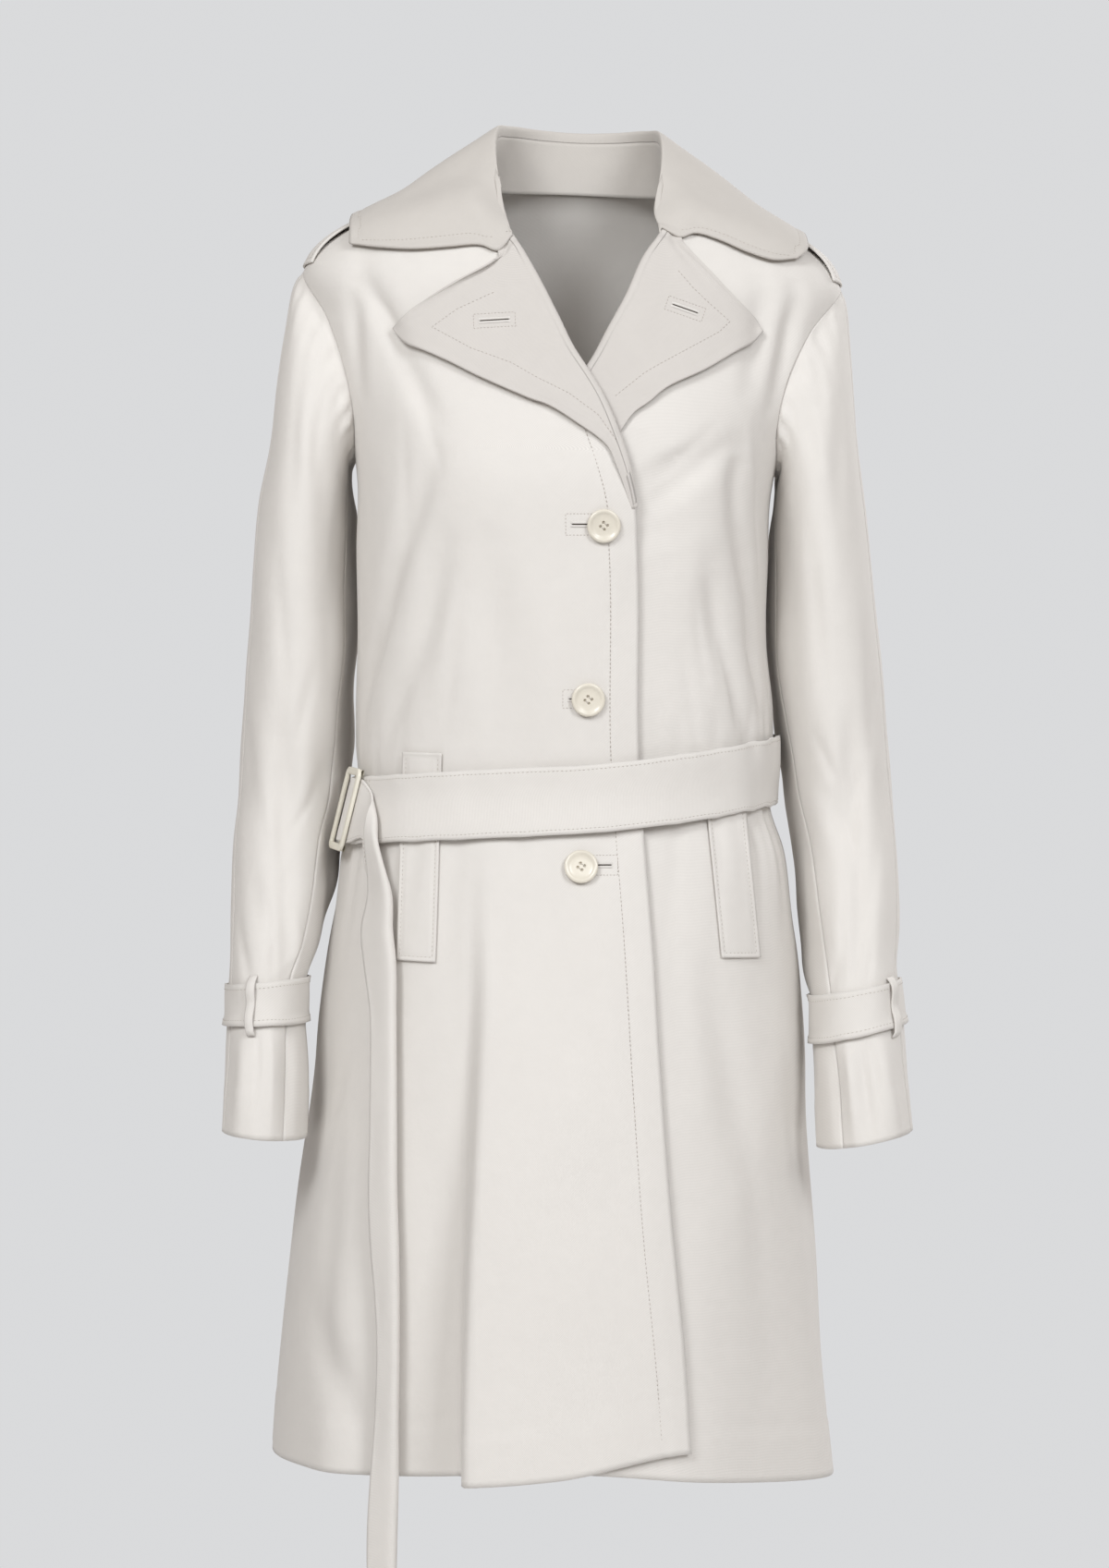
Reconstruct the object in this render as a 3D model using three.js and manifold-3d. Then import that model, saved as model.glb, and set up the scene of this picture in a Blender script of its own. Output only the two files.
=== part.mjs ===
// A belted trench coat in the hollow form it has when worn, open at neck, cuffs and hem.
// Millimetres, +Z up, the front faces -Y and the wearer's left is +X. The origin is the
// centre of the neck opening, level with the foot of the collar.
import * as THREE from "three";
import { mergeVertices } from "three/addons/utils/BufferGeometryUtils.js";
import Module from "manifold-3d";

const wasm = await Module();
wasm.setup();

// Cloth and seams
const clothThickness = 1.5;
const seamGap = 0.3;
const seamTurn = 0.08; // half a seam's gap, in degrees round the coat
const lean = 0.036; // how far the wearer's left side hangs lower, per millimetre across

// Heights of the main levels, before the lean
const neckLevel = 5;
const shoulderTip = -62;
const armholeFoot = -200;
const beltFoot = -474;
const hemLevel = -926;

// Sizes of the trimmings
const beltWidth = 50;
const beltThickness = 2;
const tailThickness = 1.8;
const beltClear = 3.6;
const buckleHeight = 62;
const buckleWidth = 34;
const buckleBar = 5.5;
const buckleDepth = 3;
const buckleFoot = 0.4; // the middle bar's underside above the belt under it
const buttonDiameter = 24;
const buttonHoleCircle = 5;
const buttonHole = 2;
const pocketWeltWidth = 28;
const loopWidth = 9;

const left = -1; // viewer's left, the wearer's right
const right = 1;

// Rows of numbers under named columns
function table(columns, ...rows) {
  return rows.map((row) => Object.fromEntries(columns.map((name, i) => [name, row[i]])));
}

// Smooth curves through a table's rows, read at any value of one column
function curvesThrough(rows, key) {
  const names = Object.keys(rows[0]).filter((name) => name !== key && typeof rows[0][name] === "number");
  const direction = Math.sign(rows[1][key] - rows[0][key]);
  const last = rows.length - 1;
  const secant = (i, name) => (rows[i + 1][name] - rows[i][name]) / (rows[i + 1][key] - rows[i][key]);
  const slope = (i, name) => {
    if (i === 0) return secant(0, name);
    if (i === last) return secant(last - 1, name);
    const before = Math.abs(rows[i][key] - rows[i - 1][key]);
    const after = Math.abs(rows[i + 1][key] - rows[i][key]);
    return (secant(i - 1, name) * after + secant(i, name) * before) / (before + after);
  };
  const known = new Map();
  return (value) => {
    if (known.has(value)) return known.get(value);
    let i = 0;
    while (i < last - 1 && (value - rows[i + 1][key]) * direction > 0) i += 1;
    const span = rows[i + 1][key] - rows[i][key];
    const t = THREE.MathUtils.clamp((value - rows[i][key]) / span, -0.2, 1.2);
    const found = { [key]: value };
    for (const name of names) {
      const rise = t * t * (3 - 2 * t);
      const start = t * (1 - t) * (1 - t) * span * slope(i, name);
      const end = t * t * (t - 1) * span * slope(i + 1, name);
      found[name] = rows[i][name] * (1 - rise) + rows[i + 1][name] * rise + start + end;
    }
    known.set(value, found);
    return found;
  };
}

const radians = THREE.MathUtils.degToRad;
const mix = THREE.MathUtils.lerp;
const smooth = THREE.MathUtils.smoothstep;
const bell = (distance, width) => Math.exp(-((distance / width) ** 2));
const wrapTurn = (angle) => THREE.MathUtils.euclideanModulo(angle + 180, 360) - 180;

// The coat's outer skin: level rings, each a rounded oval with its own front and back depth.
// drop is how far a ring's front lies below its sides, and its back above them.
const bodyRings = table(["height", "centre", "half", "front", "back", "square", "drop"],
  [neckLevel, 0, 70, 54, 58, 2.1, 9],
  [-3, -1, 108, 62, 66, 2.1, 8],
  [-15, -1.5, 143, 68, 74, 2.1, 6],
  [-28, -2, 167, 74, 81, 2.15, 4],
  [-42, -3, 186, 80, 87, 2.2, 2],
  [shoulderTip, -4.5, 200, 89, 94, 2.25, 0],
  [-100, -5, 190, 101, 103, 2.3, 0],
  [-137, -6, 177, 113, 109, 2.35, 0],
  [-183, -9, 160, 128, 110, 2.4, 0],
  [-215, -11, 154, 134, 108, 2.4, 0],
  [-272, -12.5, 153, 131, 101, 2.35, 0],
  [-331, -12.5, 152.5, 126, 97, 2.3, 0],
  [-377, -10.5, 155, 122, 95, 2.3, 0],
  [-412, -10.5, 155, 119, 95, 2.3, 0],
  [-449, -10.5, 155, 118, 96, 2.3, 0],
  [-480, -10.5, 167, 126, 105, 2.2, 0],
  [-541, -11, 174, 139, 119, 2.15, 0],
  [-583, -12, 177.5, 148, 125, 2.1, 0],
  [-640, -13.5, 183, 159, 131, 2.1, 0],
  [-715, -16, 189.5, 173, 138, 2.1, 0],
  [-790, -18.5, 195.5, 185, 144, 2.1, 0],
  [-864, -20, 201.5, 192, 149, 2.1, 0],
  [-950, -19, 209, 199, 156, 2.1, 0]);
const bodyRing = curvesThrough(bodyRings, "height");

// Skirt folds fan out from the belt. Each is a ridge or trough at an angle round the coat;
// where before and after differ, the cloth steps from one depth to the other there.
const skirtFolds = table(["top", "hem", "before", "beforeSpread", "after", "afterSpread", "edge"],
  [-19, -17.5, -34, 30, 14, 26, 3],
  [12, 24, 3, 10, 3, 10, 3],
  [46, 50, -7, 13, -7, 13, 4],
  [66, 70, 5, 9, 5, 9, 4],
  [-46, -50, 6, 8, 6, 8, 4],
  [112, 118, 12, 12, 12, 12, 4],
  [138, 141, -9, 10, -9, 10, 4],
  [164, 166, 13, 12, 13, 12, 4],
  [-172, -171, -8, 10, -8, 10, 4],
  [-147, -148, 13, 12, 13, 12, 4],
  [-121, -122, -9, 11, -9, 11, 4],
  [-102, -105, 8, 9, 8, 9, 4]);
const foldGrowth = 1.15;

// Drag lines in the bodice and pulls in the skirt: soft troughs between two places seen
// from the front, with their half width and depth.
const creases = table(["x1", "z1", "x2", "z2", "width", "depth"],
  [-159, -62, -124, -141, 11, 5],
  [-124, -141, -104, -182, 11, 4],
  [-165, -80, -160, -154, 9, 4],
  [-104, -207, -147, -339, 12, 6],
  [-147, -339, -158, -386, 10, 4],
  [-97, -273, -117, -352, 12, 5],
  [-117, -352, -142, -412, 11, 4],
  [-61, -273, -60, -414, 13, 4],
  [133, -70, 124, -144, 11, 5],
  [158, -72, 142, -154, 10, 6],
  [44, -222, 88, -194, 10, 4],
  [50, -238, 108, -188, 10, 4],
  [114, -194, 114, -246, 11, 5],
  [114, -246, 124, -299, 11, 6],
  [124, -299, 134, -378, 10, 5],
  [94, -279, 108, -352, 12, 5],
  [108, -352, 122, -404, 11, 5],
  [-192, -820, -160, -905, 14, 5],
  [96, -560, 118, -700, 15, 4],
  [-20, -500, -6, -640, 16, 4]);

// Hollows where the arms hang against the coat's sides
const armHollows = table(["angle", "height", "spread", "reach", "depth"],
  [-86, -505, 22, 48, 5],
  [86, -505, 22, 48, 4],
  [-74, -682, 16, 46, 7],
  [74, -690, 16, 46, 6]);

// An angle round a ring from a place across it, without folds
function angleAcross(x, height) {
  const ring = bodyRing(height);
  const share = THREE.MathUtils.clamp((x - ring.centre) / ring.half, -0.999, 0.999);
  return THREE.MathUtils.radToDeg(Math.asin(Math.sign(share) * Math.abs(share) ** (ring.square / 2)));
}

const creaseDegree = 2.55; // millimetres along the chest for a degree
const creaseLines = creases.map((crease) => ({
  ...crease,
  a1: angleAcross(crease.x1, crease.z1) * creaseDegree,
  a2: angleAcross(crease.x2, crease.z2) * creaseDegree,
}));

function creasePush(angle, height) {
  let push = 0;
  for (const line of creaseLines) {
    const dx = line.a2 - line.a1;
    const dz = line.z2 - line.z1;
    const px = angle * creaseDegree - line.a1;
    const pz = height - line.z1;
    const t = THREE.MathUtils.clamp((px * dx + pz * dz) / (dx * dx + dz * dz), 0, 1);
    push -= line.depth * bell(Math.hypot(px - dx * t, pz - dz * t), line.width);
  }
  return push;
}

// How far the folds move the skin outwards at an angle and a height
function foldPush(angle, height) {
  const turn = wrapTurn(angle);
  const fall = THREE.MathUtils.clamp((beltFoot - height) / (beltFoot - hemLevel), 0, 1.04);
  let push = 0;
  for (const fold of skirtFolds) {
    const away = wrapTurn(turn - mix(fold.top, fold.hem, fall));
    const passed = smooth(away, -fold.edge, fold.edge);
    const ridge = fold.after * passed * bell(Math.max(away, 0), fold.afterSpread);
    const trough = fold.before * (1 - passed) * bell(Math.min(away, 0), fold.beforeSpread);
    push += (ridge + trough) * fall ** foldGrowth;
  }
  for (const hollow of armHollows) {
    push -= hollow.depth * bell(turn - hollow.angle, hollow.spread) * bell(height - hollow.height, hollow.reach);
  }
  if (Math.abs(turn) < 100) push += creasePush(turn, height);
  return push;
}

// A point of the outer skin
function coatPoint(angle, height) {
  const ring = bodyRing(height);
  const across = Math.sin(radians(angle));
  const ahead = Math.cos(radians(angle));
  const power = 2 / ring.square;
  const depth = ahead > 0 ? ring.front : ring.back;
  const x = ring.half * Math.sign(across) * Math.abs(across) ** power;
  const y = -depth * Math.sign(ahead) * Math.abs(ahead) ** power;
  const outward = new THREE.Vector2(x / ring.half ** 2, y / depth ** 2).normalize();
  const push = foldPush(angle, height);
  return new THREE.Vector3(
    ring.centre + x + outward.x * push,
    y + outward.y * push,
    height - ring.drop * ahead - lean * x);
}

function coatNormal(angle, height) {
  const step = 0.5;
  const across = coatPoint(angle + step, height).sub(coatPoint(angle - step, height));
  const down = coatPoint(angle, height - step).sub(coatPoint(angle, height + step));
  return down.cross(across).normalize();
}

function coatSkin(angle, height, out) {
  return coatPoint(angle, height).addScaledVector(coatNormal(angle, height), out);
}

// The place of the front skin seen at x and z
function frontPlace(x, z) {
  let height = z + lean * x;
  let angle = 0;
  for (let pass = 0; pass < 3; pass += 1) {
    let low = -89;
    let high = 89;
    for (let i = 0; i < 26; i += 1) {
      angle = (low + high) / 2;
      if (coatPoint(angle, height).x < x) low = angle;
      else high = angle;
    }
    height += z - coatPoint(angle, height).z;
  }
  return { angle, height };
}

function frontSkin(x, z, out) {
  const place = frontPlace(x, z);
  return coatSkin(place.angle, place.height, out);
}

// Free edges of the two fronts, from the foot of the collar down the roll of the lapel and
// the front edge to the hem: how far across the edge lies at each height.
const lapEdges = table(["height", "x"],
  [5, -69], [-15, -66], [-30, -59], [-46, -49], [-72, -34], [-104, -18], [-127, -7], [-146, 5],
  [-158, 12], [-191, 26], [-212, 33], [-233, 38.5], [-274, 41], [-420, 42.5], [-469, 45.5],
  [-535, 50.5], [-663, 58], [-751, 64], [-839, 72.5], [-926, 79]);
const underEdges = table(["height", "x"],
  [5, 69], [-12, 68], [-25, 66], [-36, 62], [-55, 50], [-87, 36], [-113, 22], [-130, 13],
  [-138, 8], [-160, -2], [-190, -12], [-212, -18], [-236, -22], [-420, -24], [-926, -16]);
const lapEdge = curvesThrough(lapEdges, "height");
const underEdge = curvesThrough(underEdges, "height");

// How deep the under front lies behind the lapping one, near the lap
function underSink(angle, height) {
  const past = coatPoint(angle, height).x - lapEdge(height).x;
  const deep = 4.5 + 3 * smooth(height, -290, -235) * (1 - smooth(height, -120, -60));
  return deep * (1 - smooth(past, 2, 66));
}

// The hem's height round the coat: the lapping front's corner is carried a little higher
const hemHeights = table(["angle", "height"],
  [-180, -930], [-90, -937], [-60, -933], [-25, -927], [0, -917], [24, -900], [30, -899]);
const underHemHeights = table(["angle", "height"],
  [-15, -908], [15, -915], [35, -922], [60, -930], [90, -935], [180, -930]);
const lapHem = curvesThrough(hemHeights, "angle");
const underHem = curvesThrough(underHemHeights, "angle");

// Armholes: ovals in the side of the skin, a little wider behind than in front
const armholeReach = { [left]: { front: 22, back: 30 }, [right]: { front: 28, back: 30 } };
const armholeMiddle = (shoulderTip + armholeFoot) / 2;
const armholeHalf = (shoulderTip - armholeFoot) / 2;
const armholeSteps = 10; // between shoulder tip and underarm

// Rows of the body panels: levels from the neck to the belt, then shares of the skirt
const panelLevels = [
  ...[neckLevel, -4, -14, -26, -38, -50],
  ...Array.from({ length: armholeSteps + 1 }, (_, i) =>
    armholeMiddle + armholeHalf * Math.cos((Math.PI * i) / armholeSteps)),
  ...Array.from({ length: 10 }, (_, i) => mix(armholeFoot, beltFoot, (i + 1) / 10)),
];
const skirtRows = 14;
const panelRows = panelLevels.length + skirtRows;

function rowHeight(row, hem) {
  if (row < panelLevels.length) return panelLevels[row];
  return mix(beltFoot, hem, (row - panelLevels.length + 1) / skirtRows);
}

// Where a panel stops at its side: the side seam, or the armhole's edge
function sideTurn(height, reach) {
  const share = (height - armholeMiddle) / armholeHalf;
  if (Math.abs(share) >= 1) return seamTurn;
  return Math.max(seamTurn, reach * Math.sqrt(1 - share * share));
}

// The angle at which the skin passes a place across, at one height
function edgeAngle(x, height) {
  let low = -86;
  let high = 86;
  for (let i = 0; i < 30; i += 1) {
    const middle = (low + high) / 2;
    if (coatPoint(middle, height).x < x) low = middle;
    else high = middle;
  }
  return (low + high) / 2;
}

// A closed wall between two grids of points, each a list of rows
function wallGeometry(outer, inner, closedRound = false) {
  const rows = outer.length;
  const columns = outer[0].length;
  const at = (layer, row, column) => (layer * rows + row) * columns + (column % columns);
  const triangles = [];
  const quad = (a, b, c, d) => triangles.push(a, b, c, a, c, d);
  const spans = closedRound ? columns : columns - 1;
  for (let r = 0; r < rows - 1; r += 1) {
    for (let c = 0; c < spans; c += 1) {
      quad(at(0, r, c), at(0, r + 1, c), at(0, r + 1, c + 1), at(0, r, c + 1));
      quad(at(1, r, c), at(1, r, c + 1), at(1, r + 1, c + 1), at(1, r + 1, c));
    }
    if (!closedRound) {
      quad(at(0, r, 0), at(1, r, 0), at(1, r + 1, 0), at(0, r + 1, 0));
      quad(at(0, r, spans), at(0, r + 1, spans), at(1, r + 1, spans), at(1, r, spans));
    }
  }
  for (let c = 0; c < spans; c += 1) {
    quad(at(0, 0, c), at(0, 0, c + 1), at(1, 0, c + 1), at(1, 0, c));
    quad(at(0, rows - 1, c + 1), at(0, rows - 1, c), at(1, rows - 1, c), at(1, rows - 1, c + 1));
  }
  const points = [...outer.flat(), ...inner.flat()];
  return facingOut(points, triangles);
}

// A closed body's faces all point outwards once its volume is positive
function facingOut(points, triangles) {
  let volume = 0;
  for (let i = 0; i < triangles.length; i += 3) {
    const [a, b, c] = [0, 1, 2].map((k) => points[triangles[i + k]]);
    volume += a.dot(b.clone().cross(c));
  }
  if (volume < 0) triangles.reverse();
  const geometry = new THREE.BufferGeometry().setFromPoints(points);
  geometry.setIndex(triangles);
  geometry.computeVertexNormals();
  return geometry;
}

// Normals of a grid of points, from its neighbours along and across
function gridNormals(grid, closedRound = false) {
  const rows = grid.length;
  const columns = grid[0].length;
  return grid.map((row, r) => row.map((point, c) => {
    const down = grid[Math.min(r + 1, rows - 1)][c].clone().sub(grid[Math.max(r - 1, 0)][c]);
    const after = closedRound ? row[(c + 1) % columns] : row[Math.min(c + 1, columns - 1)];
    const before = closedRound ? row[(c + columns - 1) % columns] : row[Math.max(c - 1, 0)];
    return down.cross(after.clone().sub(before)).normalize();
  }));
}

// A wall whose other face lies behind the grid by its thickness, along the grid's normals
function wallBehind(grid, thickness, closedRound = false) {
  const normals = gridNormals(grid, closedRound);
  const inner = grid.map((row, r) => row.map((point, c) =>
    point.clone().addScaledVector(normals[r][c], -thickness)));
  return wallGeometry(grid, inner, closedRound);
}

const gridOf = (rows, columns, place) =>
  Array.from({ length: rows }, (_, r) => Array.from({ length: columns }, (__, c) => place(r, c)));

// Colours and finishes, as the coat shows them
const cloth = { color: 0xe9e4de, roughness: 0.78, metalness: 0 };
const collarCloth = { color: 0xddd5cd, roughness: 0.8, metalness: 0 };
const ivory = { color: 0xeae5d3, roughness: 0.35, metalness: 0 };

const coat = new THREE.Group();

function addPiece(name, geometry, finish) {
  const mesh = new THREE.Mesh(geometry, new THREE.MeshStandardMaterial(finish));
  mesh.name = name;
  coat.add(mesh);
  return mesh;
}

// Body panels
const frontColumns = 16;
const backColumns = 16;

function bodyPanel(columns, span, hemAt, sink) {
  const place = (out) => (row, column) => {
    const share = column / (columns - 1);
    const nominal = rowHeight(row, hemLevel);
    const [from, to] = span(nominal);
    const angle = mix(from, to, share);
    const height = rowHeight(row, hemAt(angle));
    return coatSkin(angle, height, out - sink(angle, height));
  };
  return wallGeometry(
    gridOf(panelRows, columns, place(0)),
    gridOf(panelRows, columns, place(-clothThickness)));
}

const noSink = () => 0;
addPiece("front_right", bodyPanel(frontColumns, (height) => [
  -90 + sideTurn(height, armholeReach[left].front),
  edgeAngle(lapEdge(height).x, height),
], (angle) => lapHem(angle).height, noSink), cloth);
addPiece("front_left", bodyPanel(frontColumns, (height) => [
  edgeAngle(underEdge(height).x, height),
  90 - sideTurn(height, armholeReach[right].front),
], (angle) => underHem(angle).height, underSink), cloth);
addPiece("back", bodyPanel(backColumns, (height) => [
  90 + sideTurn(height, armholeReach[right].back),
  270 - sideTurn(height, armholeReach[left].back),
], (angle) => (angle < 180 ? underHem(angle) : lapHem(angle - 360)).height, noSink), cloth);

// Sleeves: rings from the armhole to the cuff. outer and inner are a ring's two ends as seen
// from the front, y its middle and depth its half size fore and aft.
const sleeveRings = {
  [left]: table(["level", "outerX", "outerZ", "innerX", "innerZ", "y", "depth"],
    [0, -206, -56, -166, -194, 2, 62],
    [1, -214, -70, -170, -201, 2, 63],
    [2, -219, -98, -171, -208, 2, 65],
    [3, -225, -140, -172, -220, 2, 67],
    [4, -230, -186, -172, -238, 2, 67],
    [5, -238, -228, -172, -262, 3, 66],
    [6, -243, -272, -172.5, -296, 4, 65],
    [7, -245.5, -324, -173, -338, 5, 64],
    [8, -249, -366, -175.5, -374, 5, 63],
    [9, -252, -406, -176, -410, 5, 62],
    [10, -254, -446, -177.5, -446, 3, 60],
    [11, -257, -478, -184.5, -476, -5, 58],
    [12, -256.5, -524, -187, -518, -20, 56],
    [13, -257, -556, -191, -550, -32, 53],
    [14, -256.5, -582, -199, -576, -42, 49],
    [15, -256.5, -598, -200, -594, -46, 47],
    [16, -257, -614, -200, -612, -50, 48],
    [17, -258, -642, -197.5, -644, -55, 52],
    [18, -260, -688, -199, -694, -62, 54]),
  [right]: table(["level", "outerX", "outerZ", "innerX", "innerZ", "y", "depth"],
    [0, 194, -68, 144, -204, 2, 62],
    [1, 199, -84, 147, -208, 2, 63],
    [2, 202, -110, 146.5, -215, 2, 65],
    [3, 205, -148, 146, -226, 2, 67],
    [4, 208.5, -190, 145.5, -242, 2, 67],
    [5, 214, -236, 145.5, -266, 3, 66],
    [6, 220, -284, 145.5, -302, 4, 65],
    [7, 225, -338, 146.5, -348, 5, 64],
    [8, 229, -382, 151, -388, 5, 63],
    [9, 232, -416, 155.5, -418, 5, 62],
    [10, 234.5, -448, 158, -448, 3, 60],
    [11, 237, -490, 165, -486, -6, 58],
    [12, 236.5, -536, 168, -532, -22, 56],
    [13, 234.5, -564, 170, -564, -34, 53],
    [14, 233.5, -578, 171, -590, -42, 49],
    [15, 235.5, -596, 171, -610, -46, 47],
    [16, 237, -612, 171, -628, -50, 48],
    [17, 239, -642, 172, -656, -55, 52],
    [18, 243, -687, 174, -701, -62, 54]),
};
const cuffLevel = 18;
const sleeveSteps = 24;
const sleeveColumns = { front: 10, back: 12 };
const sleeveRing = {
  [left]: curvesThrough(sleeveRings[left], "level"),
  [right]: curvesThrough(sleeveRings[right], "level"),
};

// Sleeve folds: troughs (or ridges, with a negative depth) between two places, each a turn
// round the sleeve (0 outside, 90 in front, 180 inside) and a level down it
const sleeveFolds = {
  [left]: table(["turn1", "level1", "turn2", "level2", "spread", "depth"],
    [150, 3.2, 140, 7, 16, 6],
    [112, 3, 128, 6, 14, 3],
    [82, 8.2, 100, 11.5, 16, 6],
    [100, 11.5, 118, 13.6, 14, 5],
    [58, 11.6, 92, 13, 12, 3],
    [160, 9, 120, 10.4, 16, 4],
    [200, 9, 235, 10.5, 16, 5],
    [250, 8.4, 300, 9.6, 16, 4],
    [126, 16.2, 128, 18, 12, 5],
    [62, 16.4, 58, 18, 12, -3],
    [240, 16.2, 238, 18, 16, 5],
    [300, 16.2, 305, 18, 14, 4]),
  [right]: table(["turn1", "level1", "turn2", "level2", "spread", "depth"],
    [150, 3.2, 140, 7, 16, 5],
    [78, 7.8, 88, 11, 16, 6],
    [88, 11, 112, 10, 13, 5],
    [86, 11.2, 96, 14, 14, 5],
    [58, 2.5, 70, 5.5, 16, 3],
    [200, 9, 235, 10.5, 16, 5],
    [250, 8.4, 300, 9.6, 16, 4],
    [96, 16.2, 88, 18, 10, 5],
    [70, 16.2, 52, 18, 11, -3],
    [128, 16.2, 124, 18, 11, 4],
    [240, 16.2, 238, 18, 16, 5],
    [300, 16.2, 305, 18, 14, 4]),
};
const levelDegree = 24; // how many degrees round a sleeve a level's length is like

function sleeveFoldPush(side, turn, level) {
  let push = 0;
  for (const fold of sleeveFolds[side]) {
    const dt = fold.turn2 - fold.turn1;
    const dl = (fold.level2 - fold.level1) * levelDegree;
    const pt = THREE.MathUtils.euclideanModulo(turn, 360) - fold.turn1;
    const pl = (level - fold.level1) * levelDegree;
    const t = THREE.MathUtils.clamp((pt * dt + pl * dl) / (dt * dt + dl * dl), 0, 1);
    push -= fold.depth * bell(Math.hypot(pt - dt * t, pl - dl * t), fold.spread);
  }
  return push;
}

// The armhole's edge on the skin, at a turn round it
function armholePoint(side, turn, scale) {
  const height = armholeMiddle + armholeHalf * scale * Math.cos(radians(turn));
  const across = Math.sin(radians(turn)) * scale;
  const reach = across > 0 ? armholeReach[side].front : armholeReach[side].back;
  return coatPoint(side * (90 - reach * across), height);
}

function ringPoint(side, turn, level) {
  const ring = sleeveRing[side](level);
  const share = Math.cos(radians(turn));
  return new THREE.Vector3(
    mix(ring.innerX, ring.outerX, (1 + share) / 2),
    ring.y - ring.depth * Math.sin(radians(turn)),
    mix(ring.innerZ, ring.outerZ, (1 + share) / 2));
}

const armholeInset = 0.991; // the sleeve starts just inside the armhole's edge
function sleevePoint(side, turn, level) {
  const point = ringPoint(side, turn, level);
  const carried = bell(Math.max(level, 0), 2.2);
  const middle = ringPoint(side, 0, level).add(ringPoint(side, 180, level)).multiplyScalar(0.5);
  const outward = point.clone().sub(middle).normalize();
  point.addScaledVector(outward, sleeveFoldPush(side, turn, level));
  if (carried < 0.001) return point;
  const start = armholePoint(side, turn, armholeInset).sub(ringPoint(side, turn, 0));
  return point.addScaledVector(start, carried);
}

function sleeveSkin(side, turn, level, out) {
  const step = 0.08;
  const round = sleevePoint(side, turn + 4, level).sub(sleevePoint(side, turn - 4, level));
  const down = sleevePoint(side, turn, level + step).sub(sleevePoint(side, turn, Math.max(level - step, 0)));
  const normal = down.cross(round).normalize().multiplyScalar(-side);
  return sleevePoint(side, turn, level).addScaledVector(normal, out);
}

// The two seams of a sleeve: one down its outside, one down its inside and forward at the cuff
const sleeveSeams = table(["level", "outside", "inside"],
  [0, 18, 180], [4, 22, 172], [8, 24, 162], [11, 26, 146], [14, 28, 132], [18, 28, 126]);
const seamAt = curvesThrough(sleeveSeams, "level");
const sleeveSeamTurn = 0.2;

function sleeveHalf(side, columns, span) {
  const place = (out) => (row, column) => {
    const level = (cuffLevel * row) / sleeveSteps;
    const [from, to] = span(seamAt(level));
    const turn = mix(from + sleeveSeamTurn, to - sleeveSeamTurn, column / (columns - 1));
    return sleeveSkin(side, turn, level, out);
  };
  return wallGeometry(
    gridOf(sleeveSteps + 1, columns, place(0)),
    gridOf(sleeveSteps + 1, columns, place(-clothThickness)));
}

for (const [side, name] of [[left, "right"], [right, "left"]]) {
  const frontHalf = sleeveHalf(side, sleeveColumns.front, (seam) => [seam.outside, seam.inside]);
  const backHalf = sleeveHalf(side, sleeveColumns.back, (seam) => [seam.inside, seam.outside + 360]);
  addPiece(`sleeve_${name}_front`, frontHalf, cloth);
  addPiece(`sleeve_${name}_back`, backHalf, cloth);
}

// Cuff straps: bands round each sleeve above its cuff, each held by one loop
const strapMiddle = 15;
const strapLevels = [14.06, 14.7, 15.3, 15.94];
const strapClears = [1.1, 1.1, 1.2, 2.2];
const loopRows = table(["level", "rise"], [-1.55, 0.6], [-1.25, 3.6], [0, 3.7], [1.25, 5], [1.6, 0.6]);
const loopTurn = { [left]: 76, [right]: 47 };
for (const [side, name] of [[left, "right"], [right, "left"]]) {
  const strapPoint = (out) => (row, column) => {
    const seam = seamAt(strapLevels[row]);
    const behind = column - sleeveColumns.front + 1;
    const turn = behind < 0
      ? mix(seam.outside, seam.inside, column / (sleeveColumns.front - 1))
      : mix(seam.inside, seam.outside + 360, behind / (sleeveColumns.back - 1));
    return sleeveSkin(side, turn, strapLevels[row], strapClears[row] + out);
  };
  const strapColumns = sleeveColumns.front + sleeveColumns.back - 2;
  addPiece(`cuff_strap_${name}`, wallGeometry(
    gridOf(strapLevels.length, strapColumns, strapPoint(clothThickness)),
    gridOf(strapLevels.length, strapColumns, strapPoint(0)), true), cloth);
  const loopHalf = (loopWidth / 2 / 48) * (180 / Math.PI);
  const loopPoint = (out) => (row, column) => {
    const turn = loopTurn[side] + (column - 0.5) * 2 * loopHalf;
    return sleeveSkin(side, turn, strapMiddle + loopRows[row].level, loopRows[row].rise + out);
  };
  addPiece(`strap_loop_${name}`, wallGeometry(
    gridOf(5, 2, loopPoint(1.2)), gridOf(5, 2, loopPoint(0))), cloth);
}

// Shoulder straps: they follow the shoulder from the armhole in under the collar
const strapLength = 9;
for (const [side, name] of [[left, "right"], [right, "left"]]) {
  const strapPoint = (out) => (row, column) => {
    const share = row / strapLength;
    const height = mix(-59.5, -9, share);
    const turn = mix(17, -13, column / 3);
    const bow = 3 * Math.sin(Math.PI * share) * (1 - 0.6 * share);
    return coatSkin(side * (90 - turn), height, 0.4 + bow + out);
  };
  addPiece(`epaulette_${name}`, wallGeometry(
    gridOf(strapLength + 1, 4, strapPoint(clothThickness)),
    gridOf(strapLength + 1, 4, strapPoint(0))), cloth);
}

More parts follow.
